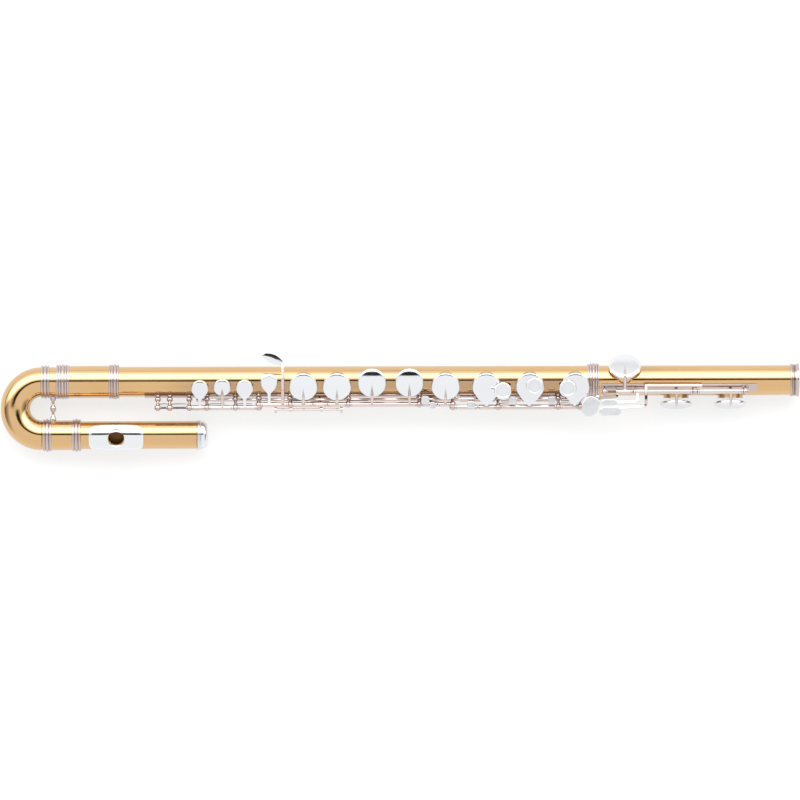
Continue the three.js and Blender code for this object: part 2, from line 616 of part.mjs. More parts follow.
// Trill levers: a solid rod inside a tube on one line; a finger under the cup rim lifts each trill key.
function buildTrillLevers() {
  const finger = (x) => bar([x, ...TRILL_LINE], [x, -13.1, 11.4], 2.4, 1.0, [0, 1, 0]);
  const touch = (x) => joined([
    bar([x, ...TRILL_LINE], [x, -16.6, 14.6], 3.2, 1.6, [0, 1, 0]),
    plate(rounded(6.6, 6.4, 1.2), x, -17.8, 14.4, 1.3),
  ]);
  const innerR = 0.75;
  const holes = bodyHoles;
  const sleeveEnd = 430.8;
  key('d_trill_lever', TRILL_LINE, [[152.0, sleeveEnd, THIN_TUBE_R]],
    [finger(holes.d_trill.x), touch(423.0)], { bore: innerR + GAP });
  key('d_sharp_trill_lever', TRILL_LINE, [
    [139.0, 485.5, innerR], [139.0, 145.8, THIN_TUBE_R], [sleeveEnd + 2 * GAP, 482.2, THIN_TUBE_R],
  ], [finger(holes.d_sharp_trill.x), touch(458.6)], { bore: 0 });
}

function buildFootKeys() {
  const holes = footHoles;
  const [y, z] = FOOT_LINE;
  const oval = (width, height, angle) => {
    const points = rounded(width, height, Math.min(width, height) * 0.48).getPoints(3);
    return new THREE.Shape(points.map((p) => p.rotateAround(new THREE.Vector2(), angle)));
  };
  const dTouch = [
    bar([517.4, y, z], [517.4, -14.8, 20.4], 2.4, 1.5),
    bar([518.6, -14.2, 20.4], [498.5, -15.4, 20.4], 2.0, 1.5),
    plate(oval(14.6, 18.5, -0.5), 493.0, -23.4, 19.6, 1.6),
  ];
  cupKey('d_sharp_key', holes.d_sharp, FOOT_LINE, 516.2, 531.0, { extra: dTouch, parent: foot });

  const cSharpTouch = [
    bar([535.4, y, z], [535.4, -20.6, 20.4], 2.4, 1.5),
    bar([536.6, -19.6, 20.4], [514.0, -19.6, 20.4], 2.2, 1.5),
    plate(rounded(14.0, 6.2, 2.9), 510.4, -19.9, 19.8, 1.8),
  ];
  cupKey('low_c_sharp_key', holes.low_c_sharp, FOOT_LINE, 532.0, 584.6, {
    extra: cSharpTouch, rest: -FOOT_OPEN, parent: foot,
  });

  const bridge = [-5.4, 23.4];
  const cTouch = [
    bar([592.2, y, z], [592.2, ...bridge], 2.6, 2.0, [0, 1, 1]),
    rod(1.2, 541.8, 593.4, bridge),
    bar([543.0, bridge[0] + 0.6, 23.4], [543.0, -16.0, 23.4], 2.4, 1.5),
    bar([543.0, -15.4, 23.4], [543.0, -24.6, 21.2], 2.4, 1.5),
    bar([544.2, -23.8, 21.4], [516.0, -24.6, 21.0], 2.2, 1.5),
    plate(oval(19.4, 8.0, 0), 510.9, -28.3, 20.0, 1.7),
  ];
  cupKey('low_c_key', holes.low_c, FOOT_LINE, 589.6, 630.2, {
    extra: cTouch, rest: -FOOT_OPEN, parent: foot,
  });
}

buildHead();
buildTubes();
buildFrames();
buildBodyKeys();
buildTrillLevers();
buildFootKeys();

// origin at the middle of the base of the whole instrument
assembly.updateMatrixWorld(true);
const bounds = new THREE.Box3().setFromObject(assembly, true);
const centre = bounds.getCenter(new THREE.Vector3());
assembly.position.set(-centre.x, -centre.y, -bounds.min.z);

export default flute;
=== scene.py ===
"""Looks of an alto flute with a curved head joint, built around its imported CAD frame.

Sizes are in millimetres in the flute's own frame: X runs along the body from the centre of the
U bend to the foot, Z is up through the main key cups, and the body tube's axis is y = z = 0.
Each finished mesh is then brought to metres in the row's frame.
"""
import logging
import math
from dataclasses import dataclass, field
from enum import Enum

import bmesh
import bpy
from mathutils import Matrix, Vector


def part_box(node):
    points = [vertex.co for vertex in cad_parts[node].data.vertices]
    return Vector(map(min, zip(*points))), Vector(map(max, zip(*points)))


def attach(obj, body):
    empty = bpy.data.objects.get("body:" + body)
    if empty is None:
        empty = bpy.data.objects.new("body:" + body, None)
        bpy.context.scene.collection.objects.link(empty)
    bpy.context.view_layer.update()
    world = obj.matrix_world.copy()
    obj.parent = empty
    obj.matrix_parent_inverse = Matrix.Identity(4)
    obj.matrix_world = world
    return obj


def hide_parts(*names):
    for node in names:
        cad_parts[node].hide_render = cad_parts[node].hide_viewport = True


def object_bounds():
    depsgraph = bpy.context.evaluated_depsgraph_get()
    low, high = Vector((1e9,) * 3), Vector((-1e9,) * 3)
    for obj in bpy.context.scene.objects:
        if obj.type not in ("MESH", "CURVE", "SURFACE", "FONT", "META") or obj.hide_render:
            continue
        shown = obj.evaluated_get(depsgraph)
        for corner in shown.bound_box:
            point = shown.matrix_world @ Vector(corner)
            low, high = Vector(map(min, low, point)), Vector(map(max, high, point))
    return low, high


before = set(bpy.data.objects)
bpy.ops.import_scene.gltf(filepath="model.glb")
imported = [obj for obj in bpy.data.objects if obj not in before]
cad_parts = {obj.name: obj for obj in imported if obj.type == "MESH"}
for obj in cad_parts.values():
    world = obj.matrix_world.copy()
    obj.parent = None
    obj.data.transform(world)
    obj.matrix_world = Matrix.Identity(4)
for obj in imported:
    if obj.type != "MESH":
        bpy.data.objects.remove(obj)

CAD_BOUNDS = [list(corner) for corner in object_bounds()]
LOG = logging.getLogger("alto_flute")
MM = 0.001

# sizes shared by several sub-assemblies
TUBE_R = 13.7
BORE_R = 13.0
LEG_R = 12.6
LEG_Y = -48.0
SOCKET_R = LEG_R + 0.9
BODY_START = 39.8
BODY_END = 492.9
FOOT_START = 501.4
FOOT_END = 674.5
END_RING = 6.6
PAD_PLANE = 16.3
CUP_TOP = 19.9
BUTTON_Z = 20.8
KEY_TUBE_R = 2.25
THIN_TUBE_R = 1.45
STEEL_R = 0.9
OPEN = math.radians(8)
FOOT_OPEN = math.radians(11)
LEFT_LINE = (-21.0, 10.8)
RIGHT_LINE = (-23.6, 10.1)
TRILL_LINE = (-16.6, 6.2)
FOOT_LINE = (-10.1, 19.6)

Point = tuple[float, float, float]
Profile = list[tuple[float, float]]


def frame_origin() -> Vector:
    """Place of the flute's own origin in the row's frame, read from the foot's end ring.

    Returns:
        The origin in metres.
    """
    low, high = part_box("foot_end_ring")
    middle = (low + high) / 2
    return Vector((high.x - (FOOT_END + END_RING) * MM, middle.y, middle.z))


ORIGIN = frame_origin()
TO_ROW = Matrix.Translation(ORIGIN) @ Matrix.Scale(MM, 4)


class Arm(Enum):
    """How a key's arm meets its cup."""

    POINTED = "pointed"
    TEARDROP = "teardrop"
    BACK = "back"


class Size(Enum):
    """Cup sizes: radius of the cup and outside radius of its chimney."""

    SMALL = (7.7, 5.6)
    LARGE = (12.7, 10.6)
    BACK = (9.0, 6.9)
    FOOT = (14.5, 11.4)

    @property
    def cup(self) -> float:
        """Radius of the cup."""
        return self.value[0]

    @property
    def chimney(self) -> float:
        """Outside radius of the chimney."""
        return self.value[1]


# ---------------------------------------------------------------- finishes
class NodeKit:
    """Small helper that adds nodes and links to one node tree."""

    def __init__(self, tree: bpy.types.NodeTree) -> None:
        """Keeps the tree that nodes are added to."""
        self.tree = tree

    def add(self, kind: str, **values: object) -> bpy.types.Node:
        """Adds a node and sets its properties and input values.

        Args:
            kind: node type.
            values: property or input names (spaces as underscores) and their values.

        Returns:
            The new node.
        """
        node = self.tree.nodes.new(kind)
        for name, value in values.items():
            if hasattr(node, name):
                setattr(node, name, value)
            else:
                node.inputs[name.replace("_", " ")].default_value = value
        return node

    def link(self, source: bpy.types.NodeSocket, target: bpy.types.NodeSocket) -> None:
        """Links two sockets."""
        self.tree.links.new(source, target)

    def blend(self, factor: bpy.types.NodeSocket, low: Point, high: Point) -> bpy.types.NodeSocket:
        """Adds a mix of two colours.

        Args:
            factor: socket that drives the mix.
            low: colour at factor 0.
            high: colour at factor 1.

        Returns:
            The colour output.
        """
        node = self.tree.nodes.new("ShaderNodeMix")
        node.data_type = "RGBA"
        node.inputs[6].default_value = (*low, 1)
        node.inputs[7].default_value = (*high, 1)
        self.link(factor, node.inputs[0])
        return node.outputs[2]


def handling_group() -> bpy.types.NodeTree:
    """Group with the marks of handling: soft smudges, a cloudy tone and a fine polishing grain.

    Returns:
        The node group, with outputs Smudge, Tone and Grain.
    """
    group = bpy.data.node_groups.new("handling_marks", "ShaderNodeTree")
    face = group.interface
    for name, default in (("Smudge Scale", 60.0), ("Tone Scale", 14.0), ("Grain Scale", 900.0)):
        face.new_socket(name=name, in_out="INPUT", socket_type="NodeSocketFloat").default_value = default
    for name in ("Smudge", "Tone", "Grain"):
        face.new_socket(name=name, in_out="OUTPUT", socket_type="NodeSocketFloat")
    kit = NodeKit(group)
    given = kit.add("NodeGroupInput")
    result = kit.add("NodeGroupOutput")
    place = kit.add("ShaderNodeTexCoord")
    for name, detail, low, high in (("Smudge", 4.0, 0.46, 0.66), ("Tone", 2.0, 0.35, 0.65)):
        noise = kit.add("ShaderNodeTexNoise", Detail=detail)
        kit.link(place.outputs["Object"], noise.inputs["Vector"])
        kit.link(given.outputs[f"{name} Scale"], noise.inputs["Scale"])
        fit = kit.add("ShaderNodeMapRange", From_Min=low, From_Max=high)
        kit.link(noise.outputs["Fac"], fit.inputs["Value"])
        kit.link(fit.outputs["Result"], result.inputs[name])
    stretch = kit.add("ShaderNodeMapping")
    stretch.inputs["Scale"].default_value = (0.06, 1.0, 1.0)
    kit.link(place.outputs["Object"], stretch.inputs["Vector"])
    grain = kit.add("ShaderNodeTexNoise", Detail=3.0)
    kit.link(stretch.outputs["Vector"], grain.inputs["Vector"])
    kit.link(given.outputs["Grain Scale"], grain.inputs["Scale"])
    kit.link(grain.outputs["Fac"], result.inputs["Grain"])
    return group


def crevice_shade_group() -> bpy.types.NodeTree:
    """Group that finds inside corners from the surface's pointiness, where tarnish together with painted
    shade darkens them.

    Returns:
        The node group, with the output Mask.
    """
    group = bpy.data.node_groups.new("crevice_tarnish_and_shade", "ShaderNodeTree")
    group.interface.new_socket(name="Amount", in_out="INPUT", socket_type="NodeSocketFloat")
    group.interface.new_socket(name="Mask", in_out="OUTPUT", socket_type="NodeSocketFloat")
    kit = NodeKit(group)
    given = kit.add("NodeGroupInput")
    result = kit.add("NodeGroupOutput")
    shape = kit.add("ShaderNodeNewGeometry")
    # Concave spots get the mask: tarnish together with painted shade in grooves and corners.
    fit = kit.add("ShaderNodeMapRange", From_Min=0.495, From_Max=0.44)
    kit.link(shape.outputs["Pointiness"], fit.inputs["Value"])
    scaled = kit.add("ShaderNodeMath", operation="MULTIPLY", use_clamp=True)
    kit.link(fit.outputs["Result"], scaled.inputs[0])
    kit.link(given.outputs["Amount"], scaled.inputs[1])
    kit.link(scaled.outputs["Value"], result.inputs["Mask"])
    return group


HANDLING = handling_group()
CREVICE_SHADE = crevice_shade_group()


@dataclass(frozen=True)
class MetalFinish:
    """A polished metal with smudges, a cloudy second tone, and tarnish together with painted shade in its
    corners.
    """

    name: str
    colour: Point
    tone: Point
    tarnish_and_shade: Point
    roughness: float
    smudge: float = 0.05
    grain: float = 0.02
    crevice_shade: float = 0.5
    coat: float = 0.0

    def build(self) -> bpy.types.Material:
        """Makes the material.

        Returns:
            A node material of this finish.
        """
        material = bpy.data.materials.new(self.name)
        material.use_nodes = True
        kit = NodeKit(material.node_tree)
        shader = material.node_tree.nodes["Principled BSDF"]
        shader.inputs["Metallic"].default_value = 1.0
        shader.inputs["Coat Weight"].default_value = self.coat
        shader.inputs["Coat Roughness"].default_value = 0.06
        shader.inputs["Coat IOR"].default_value = 2.1
        marks = kit.add("ShaderNodeGroup", node_tree=HANDLING)
        # Inside corners take the third colour: real tarnish together with painted shade.
        corner = kit.add("ShaderNodeGroup", node_tree=CREVICE_SHADE)
        corner.inputs["Amount"].default_value = self.crevice_shade
        clouds = kit.blend(marks.outputs["Tone"], self.colour, self.tone)
        tarnished_and_shaded = kit.blend(corner.outputs["Mask"], self.colour, self.tarnish_and_shade)
        kit.link(clouds, tarnished_and_shaded.node.inputs[6])
        kit.link(tarnished_and_shaded, shader.inputs["Base Color"])
        rough = kit.add("ShaderNodeMath", operation="MULTIPLY_ADD")
        rough.inputs[1].default_value = self.smudge
        rough.inputs[2].default_value = self.roughness
        kit.link(marks.outputs["Smudge"], rough.inputs[0])
        kit.link(rough.outputs["Value"], shader.inputs["Roughness"])
        bump = kit.add("ShaderNodeBump", Strength=self.grain, Distance=0.0002)
        kit.link(marks.outputs["Grain"], bump.inputs["Height"])
        kit.link(bump.outputs["Normal"], shader.inputs["Normal"])
        return material


@dataclass(frozen=True)
class SoftFinish:
    """A soft, matt stuff such as pad skin or cork: two tones of speckle with a fine bump."""

    name: str
    colour: Point
    speck: Point
    scale: float
    roughness: float
    bump: float

    def build(self) -> bpy.types.Material:
        """Makes the material.

        Returns:
            A node material of this finish.
        """
        material = bpy.data.materials.new(self.name)
        material.use_nodes = True
        kit = NodeKit(material.node_tree)
        shader = material.node_tree.nodes["Principled BSDF"]
        shader.inputs["Roughness"].default_value = self.roughness
        place = kit.add("ShaderNodeTexCoord")
        cells = kit.add("ShaderNodeTexVoronoi", Scale=self.scale)
        kit.link(place.outputs["Object"], cells.inputs["Vector"])
        mixed = kit.blend(cells.outputs["Distance"], self.speck, self.colour)
        kit.link(mixed, shader.inputs["Base Color"])
        bump = kit.add("ShaderNodeBump", Strength=self.bump, Distance=0.0003)
        kit.link(cells.outputs["Distance"], bump.inputs["Height"])
        kit.link(bump.outputs["Normal"], shader.inputs["Normal"])
        return material


# The third colour of each metal is tarnish together with painted shade, laid in its inside corners.
GOLD = MetalFinish("gold_lacquer", (0.635, 0.365, 0.105), (0.60, 0.335, 0.088), (0.20, 0.09, 0.03),
                   0.09, smudge=0.04, coat=1.0).build()
# The bore's brass is made dark as painted shade for the inside of the tube.
BORE_BRASS_SHADED = MetalFinish("bore_brass_painted_shade", (0.20, 0.09, 0.035), (0.15, 0.07, 0.025), (0.06, 0.03, 0.01),
                         0.30).build()
SILVER = MetalFinish("silver_plate", (0.79, 0.81, 0.83), (0.76, 0.77, 0.80), (0.22, 0.17, 0.15), 0.07).build()
KEY_NICKEL = MetalFinish("key_nickel", (0.70, 0.62, 0.59), (0.64, 0.55, 0.52), (0.10, 0.06, 0.05),
                         0.09, crevice_shade=1.0).build()
NICKEL = MetalFinish("nickel_silver", (0.60, 0.50, 0.47), (0.54, 0.44, 0.41), (0.10, 0.06, 0.05),
                     0.12, crevice_shade=1.0).build()
STEEL = MetalFinish("blued_steel", (0.16, 0.15, 0.17), (0.10, 0.09, 0.12), (0.04, 0.03, 0.03), 0.22).build()
PAD_SKIN = SoftFinish("pad_skin", (0.80, 0.66, 0.45), (0.72, 0.55, 0.34), 2400.0, 0.55, 0.2).build()
CORK = SoftFinish("stopper_cork", (0.46, 0.30, 0.17), (0.25, 0.14, 0.07), 900.0, 0.9, 0.6).build()


# ---------------------------------------------------------------- mesh making
class Former:
    """Collects turned, swept and flat shapes in one bmesh, in the flute's own frame."""

    def __init__(self) -> None:
        """Starts an empty mesh."""
        self.mesh = bmesh.new()

    def _placed(self, verts: list[bmesh.types.BMVert], matrix: Matrix) -> None:
        """Moves new points by a matrix."""
        bmesh.ops.transform(self.mesh, matrix=matrix, verts=verts)

    def turn(self, profile: Profile, matrix: Matrix, steps: int = 48) -> "Former":
        """Adds a turned shape.

        Args:
            profile: points as radius and height; ends on the axis, or closed on itself.
            matrix: place of the shape, whose axis is Z before it.
            steps: sides of the full turn.

        Returns:
            This former.
        """
        before = set(self.mesh.verts)
        verts = [self.mesh.verts.new((radius, 0, height)) for radius, height in profile]
        edges = [self.mesh.edges.new(pair) for pair in zip(verts, verts[1:])]
        if profile[0][0] > 0:
            edges.append(self.mesh.edges.new((verts[-1], verts[0])))
        bmesh.ops.spin(
            self.mesh, geom=[*verts, *edges], cent=(0, 0, 0), axis=(0, 0, 1),
            angle=math.tau, steps=steps, use_merge=True, use_duplicate=False,
        )
        made = [vert for vert in self.mesh.verts if vert not in before]
        bmesh.ops.remove_doubles(self.mesh, verts=made, dist=1e-4)
        made = [vert for vert in self.mesh.verts if vert not in before]
        faces = {face for vert in made for face in vert.link_faces}
        bmesh.ops.recalc_face_normals(self.mesh, faces=list(faces))
        self._placed(made, matrix)
        return self

    def rod(self, radius: float, start: Point, end: Point, chamfer: float = 0.2,
            steps: int = 24) -> "Former":
        """Adds a round rod with chamfered ends between two points."""
        first, last = Vector(start), Vector(end)
        along = last - first
        length = along.length
        profile = [(0, 0), (radius - chamfer, 0), (radius, chamfer), (radius, length - chamfer),
                   (radius - chamfer, length), (0, length)]
        aim = along.to_track_quat("Z", "Y").to_matrix().to_4x4()
        return self.turn(profile, Matrix.Translation(first) @ aim, steps)

    def collar(self, radius: float, half: float, chamfer: tuple[float, float], place: Matrix,
               steps: int = 24) -> "Former":
        """Adds a short turned collar with chamfered ends.

        Args:
            radius: outside radius.
            half: half of its length.
            chamfer: how far each end steps in, across and along.
            place: its middle, with its axis along Z.
            steps: sides of the full turn.

        Returns:
            This former.
        """
        across, along = chamfer
        profile = [(0, -half), (radius - across, -half), (radius, along - half), (radius, half - along),
                   (radius - across, half), (0, half)]
        return self.turn(profile, place, steps)

    def strap(self, path: list[Point], widths: list[float], thick: float, up: Point,
              smooth: int = 1, ridged: bool = False) -> "Former":
        """Adds a flat strap that follows a path.

        Args:
            path: middle line.
            widths: width at each point of the path.
            thick: thickness.
            up: direction of the thickness.
            smooth: how many times the path is subdivided and rounded.
            ridged: whether the top rises to a ridge instead of lying flat.

        Returns:
            This former.
        """
        points = [Vector(point) for point in path]
        for _ in range(smooth):
            points, widths = self._rounder(points, widths)
        rings = []
        for index, point in enumerate(points):
            along = (points[min(index + 1, len(points) - 1)] - points[max(index - 1, 0)]).normalized()
            side = Vector(up).cross(along).normalized()
            top = along.cross(side).normalized()
            half = widths[index] / 2
            shoulder, ridge = (0.0, 0.3) if ridged else (0.25, 0.8)
            offsets = [(half, -0.25), (half, shoulder), (half * ridge, 0.5), (-half * ridge, 0.5),
                       (-half, shoulder), (-half, -0.25), (-half * 0.8, -0.5), (half * 0.8, -0.5)]
            rings.append([self.mesh.verts.new(point + side * a + top * b * thick) for a, b in offsets])
        faces = [self.mesh.faces.new((one[k - 1], one[k], two[k], two[k - 1]))
                 for one, two in zip(rings, rings[1:]) for k in range(8)]
        faces += [self.mesh.faces.new(rings[0]), self.mesh.faces.new(rings[-1])]
        bmesh.ops.recalc_face_normals(self.mesh, faces=faces)
        return self

    @staticmethod
    def _rounder(points: list[Vector], widths: list[float]) -> tuple[list[Vector], list[float]]:
        """Cuts the corners of a path once, keeping its ends."""
        new_points, new_widths = [points[0]], [widths[0]]
        for one, two, first, second in zip(points, points[1:], widths, widths[1:]):
            new_points += [one.lerp(two, 0.25), one.lerp(two, 0.75)]
            new_widths += [first * 0.75 + second * 0.25, first * 0.25 + second * 0.75]
        return [*new_points, points[-1]], [*new_widths, widths[-1]]

    def plate(self, outline: Profile, thick: float, matrix: Matrix, edge: float = 0.3) -> "Former":
        """Adds a flat plate with rounded edges.

        Args:
            outline: points in XY, in order.
            thick: thickness along Z.
            matrix: place of the plate.
            edge: radius of the rounded edges.

        Returns:
            This former.
        """
        before = set(self.mesh.verts)
        base = self.mesh.faces.new([self.mesh.verts.new((x, y, 0)) for x, y in outline])
        raised = bmesh.ops.extrude_face_region(self.mesh, geom=[base])
        top = [item for item in raised["geom"] if isinstance(item, bmesh.types.BMFace)]
        upper = [item for item in raised["geom"] if isinstance(item, bmesh.types.BMVert)]
        bmesh.ops.translate(self.mesh, vec=(0, 0, thick), verts=upper)
        if not base.is_valid:
            kept = [vert for vert in self.mesh.verts if vert not in before and vert not in upper]
            base = self.mesh.faces.new(kept)
        bmesh.ops.bevel(
            self.mesh, geom=list({rim for face in (base, *top) for rim in face.edges}), offset=edge,
            segments=3, profile=0.5, affect="EDGES", material=-1,
        )
        made = [vert for vert in self.mesh.verts if vert not in before]
        caps = {face for vert in made for face in vert.link_faces if len(face.verts) > 4}
        bmesh.ops.inset_individual(self.mesh, faces=list(caps), thickness=min(0.2, edge))
        made = [vert for vert in self.mesh.verts if vert not in before]
        faces = {face for vert in made for face in vert.link_faces}
        bmesh.ops.recalc_face_normals(self.mesh, faces=list(faces))
        self._placed(made, matrix)
        return self

    def hung(self, line: tuple[float, float], angle: float) -> "Former":
        """Turns everything made so far about a hinge line along X."""
        pivot = Vector((0, *line))
        turn = Matrix.Translation(pivot) @ Matrix.Rotation(angle, 4, "X") @ Matrix.Translation(-pivot)
        bmesh.ops.transform(self.mesh, matrix=turn, verts=list(self.mesh.verts))
        return self

    def lined(self, axis_y: float, radius: float) -> list[int]:
        """Finds the faces of a bore.

        Args:
            axis_y: where the bore's axis, which runs along X, lies.
            radius: faces whose middles lie nearer to the axis than this belong to the bore.

        Returns:
            The faces' indices.
        """
        self.mesh.faces.ensure_lookup_table()
        middles = ((face.index, face.calc_center_median()) for face in self.mesh.faces)
        return [index for index, at in middles if math.hypot(at.y - axis_y, at.z) < radius]

    def finish(self, name: str, material: bpy.types.Material, body: str, slot: str,
               nodes: tuple[str, ...] = (), crease: float = 35.0) -> bpy.types.Object:
        """Makes the object, in the row's frame, and says what it is.

        Args:
            name: the piece's name.
            material: its finish.
            body: the CAD body it rides on.
            slot: the record's material slot; not used.
            nodes: CAD nodes that it stands for.
            crease: angle in degrees above which an edge stays sharp.

        Returns:
            The new object.
        """
        bmesh.ops.transform(self.mesh, matrix=TO_ROW, verts=list(self.mesh.verts))
        data = bpy.data.meshes.new(name)
        self.mesh.to_mesh(data)
        self.mesh.free()
        data.polygons.foreach_set("use_smooth", [True] * len(data.polygons))
        data.set_sharp_from_angle(angle=math.radians(crease))
        data.materials.append(material)
        piece = bpy.data.objects.new(name, data)
        bpy.context.scene.collection.objects.link(piece)
        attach(piece, body)
        if nodes:
            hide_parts(*nodes)
        LOG.info("%s: %d faces on %s", name, len(data.polygons), body)
        return piece


def radial(x: float, turn: float) -> Matrix:
    """Place whose Z runs out of the tube at an angle about X, at a station along it."""
    return Matrix.Translation((x, 0, 0)) @ Matrix.Rotation(turn, 4, "X")


def along_x(x: float, y: float = 0.0, z: float = 0.0) -> Matrix:
    """Place whose Z runs along the flute's X."""
    return Matrix.Translation((x, y, z)) @ Matrix.Rotation(math.pi / 2, 4, "Y")


def arc(radius: float, start: float, end: float, count: int,
        centre: tuple[float, float] = (0.0, 0.0)) -> Profile:
    """Points of an arc between two angles in degrees, ends included."""
    steps = [math.radians(start + (end - start) * k / (count - 1)) for k in range(count)]
    return [(centre[0] + radius * math.cos(a), centre[1] + radius * math.sin(a)) for a in steps]


def rounded_box(width: float, height: float, radius: float, count: int = 7) -> Profile:
    """Outline of a rectangle with round corners, about its middle."""
    w, h = width / 2 - radius, height / 2 - radius
    corners = [(w, h, 0), (-w, h, 90), (-w, -h, 180), (w, -h, 270)]
    return [point for x, y, a in corners for point in arc(radius, a, a + 90, count, (x, y))]


def bead_row(start: float, widths: list[float], base: float, rises: list[float]) -> Profile:
    """Outside line of a row of round beads, as radius and place along the axis."""
    line: Profile = [(base, start)]
    at = start
    for width, rise in zip(widths, rises):
        for k in range(1, 8):
            angle = math.pi * k / 8
            line.append((base + rise * math.sin(angle), at + width * (1 - math.cos(angle)) / 2))
        at += width
        line.append((base, at))
    return line


# ---------------------------------------------------------------- tubes
def working_object(former: Former) -> bpy.types.Object:
    """Turns a former into a working object in the flute's own frame."""
    data = bpy.data.meshes.new("working")
    former.mesh.to_mesh(data)
    former.mesh.free()
    made = bpy.data.objects.new("working", data)
    bpy.context.scene.collection.objects.link(made)
    return made


def combine(base: bpy.types.Object, other: bpy.types.Object, operation: str) -> None:
    """Joins or cuts one working object with another, and drops the other."""
    modifier = base.modifiers.new("combine", "BOOLEAN")
    modifier.operation = operation
    modifier.object = other
    modifier.solver = "EXACT"
    modifier.use_self = True
    shape = base.evaluated_get(bpy.context.evaluated_depsgraph_get())
    result = bpy.data.meshes.new_from_object(shape)
    base.modifiers.clear()
    base.data = result
    bpy.data.objects.remove(other)


def reopened(base: bpy.types.Object) -> Former:
    """Takes a working object's mesh back into a former, and drops the object."""
    former = Former()
    former.mesh.from_mesh(base.data)
    bpy.data.objects.remove(base)
    return former


@dataclass
class HoledTube:
    """A tube with raised chimneys, cut through by its bore and tone holes."""

    name: str
    start: float
    end: float
    body: str
    holes: list[tuple[float, float, Size]] = field(default_factory=list)
    tenon: tuple[float, float] | None = None

    @staticmethod
    def _blank(radius: float, start: float, end: float) -> bpy.types.Object:
        """A solid cylinder along X as a working object."""
        former = Former()
        former.turn([(0, start), (radius, start), (radius, end), (0, end)], along_x(0), 160)
        return working_object(former)

    def build(self) -> None:
        """Makes the tube."""
        base = self._blank(TUBE_R, self.start, self.end)
        if self.tenon:
            combine(base, self._blank(BORE_R + 0.35, *self.tenon), "UNION")
        if self.holes:
            walls = Former()
            cutters = Former()
            for x, turn, size in self.holes:
                rim = PAD_PLANE - 0.3
                outer = size.chimney
                lip = [(outer, rim - 0.9), (outer + 0.25, rim - 0.5), (outer + 0.2, rim - 0.1),
                       (outer - 0.1, rim)]
                walls.turn([(0, 6), (outer, 6), *lip, (0, rim)], radial(x, turn), 64)
                cutters.turn([(0, 5), (outer - 0.8, 5), (outer - 0.8, 30), (0, 30)], radial(x, turn), 64)
            combine(base, working_object(walls), "UNION")
            bore = self._blank(BORE_R, self.start - 30, self.end + 30)
            combine(base, bore, "DIFFERENCE")
            combine(base, working_object(cutters), "DIFFERENCE")
        former = reopened(base)
        bmesh.ops.remove_doubles(former.mesh, verts=list(former.mesh.verts), dist=1e-4)
        inside = former.lined(0.0, BORE_R + 0.15)
        tube = former.finish(self.name + "_fine", GOLD, self.body, "gold_lacquer", (self.name,), crease=28)
        line_bore(tube, inside)


def line_bore(tube: bpy.types.Object, faces: list[int]) -> None:
    """Gives the faces of a bore a dull brass, darkened as painted shade for the inside of the tube."""
    tube.data.materials.append(BORE_BRASS_SHADED)
    for index in faces:
        tube.data.polygons[index].material_index = 1


def body_holes() -> dict[str, tuple[float, float, Size]]:
    """Stations, angles and sizes of the tone holes of the body, by the key that shuts them."""
    small, large, back = Size.SMALL, Size.LARGE, Size.BACK
    listed = {
        "d_sharp_trill": (142.4, 21, small), "d_trill": (162.5, 17.5, small), "c_vent": (182.7, 16, small),
        "c_sharp": (204.7, -1, small), "b_flat": (235.4, 12.5, large), "thumb": (250.0, 108, back),
        "a": (265.6, 12.5, large), "g_upper": (297.1, 1, large), "g_lower": (330.7, 1, large),
        "g_sharp": (350.0, 108, back), "f_sharp": (363.2, 12.5, large), "f": (399.9, 12.5, large),
        "e": (439.1, 12.5, large), "d": (479.8, 12.5, large),
    }
    return {name: (x, math.radians(turn), size) for name, (x, turn, size) in listed.items()}


def foot_holes() -> dict[str, tuple[float, float, Size]]:
    """Stations, angles and sizes of the tone holes of the foot."""
    listed = {"d_sharp": (524.3, -44), "low_c_sharp": (570.6, 90), "low_c": (619.4, 90)}
    return {name: (x, math.radians(turn), Size.FOOT) for name, (x, turn) in listed.items()}


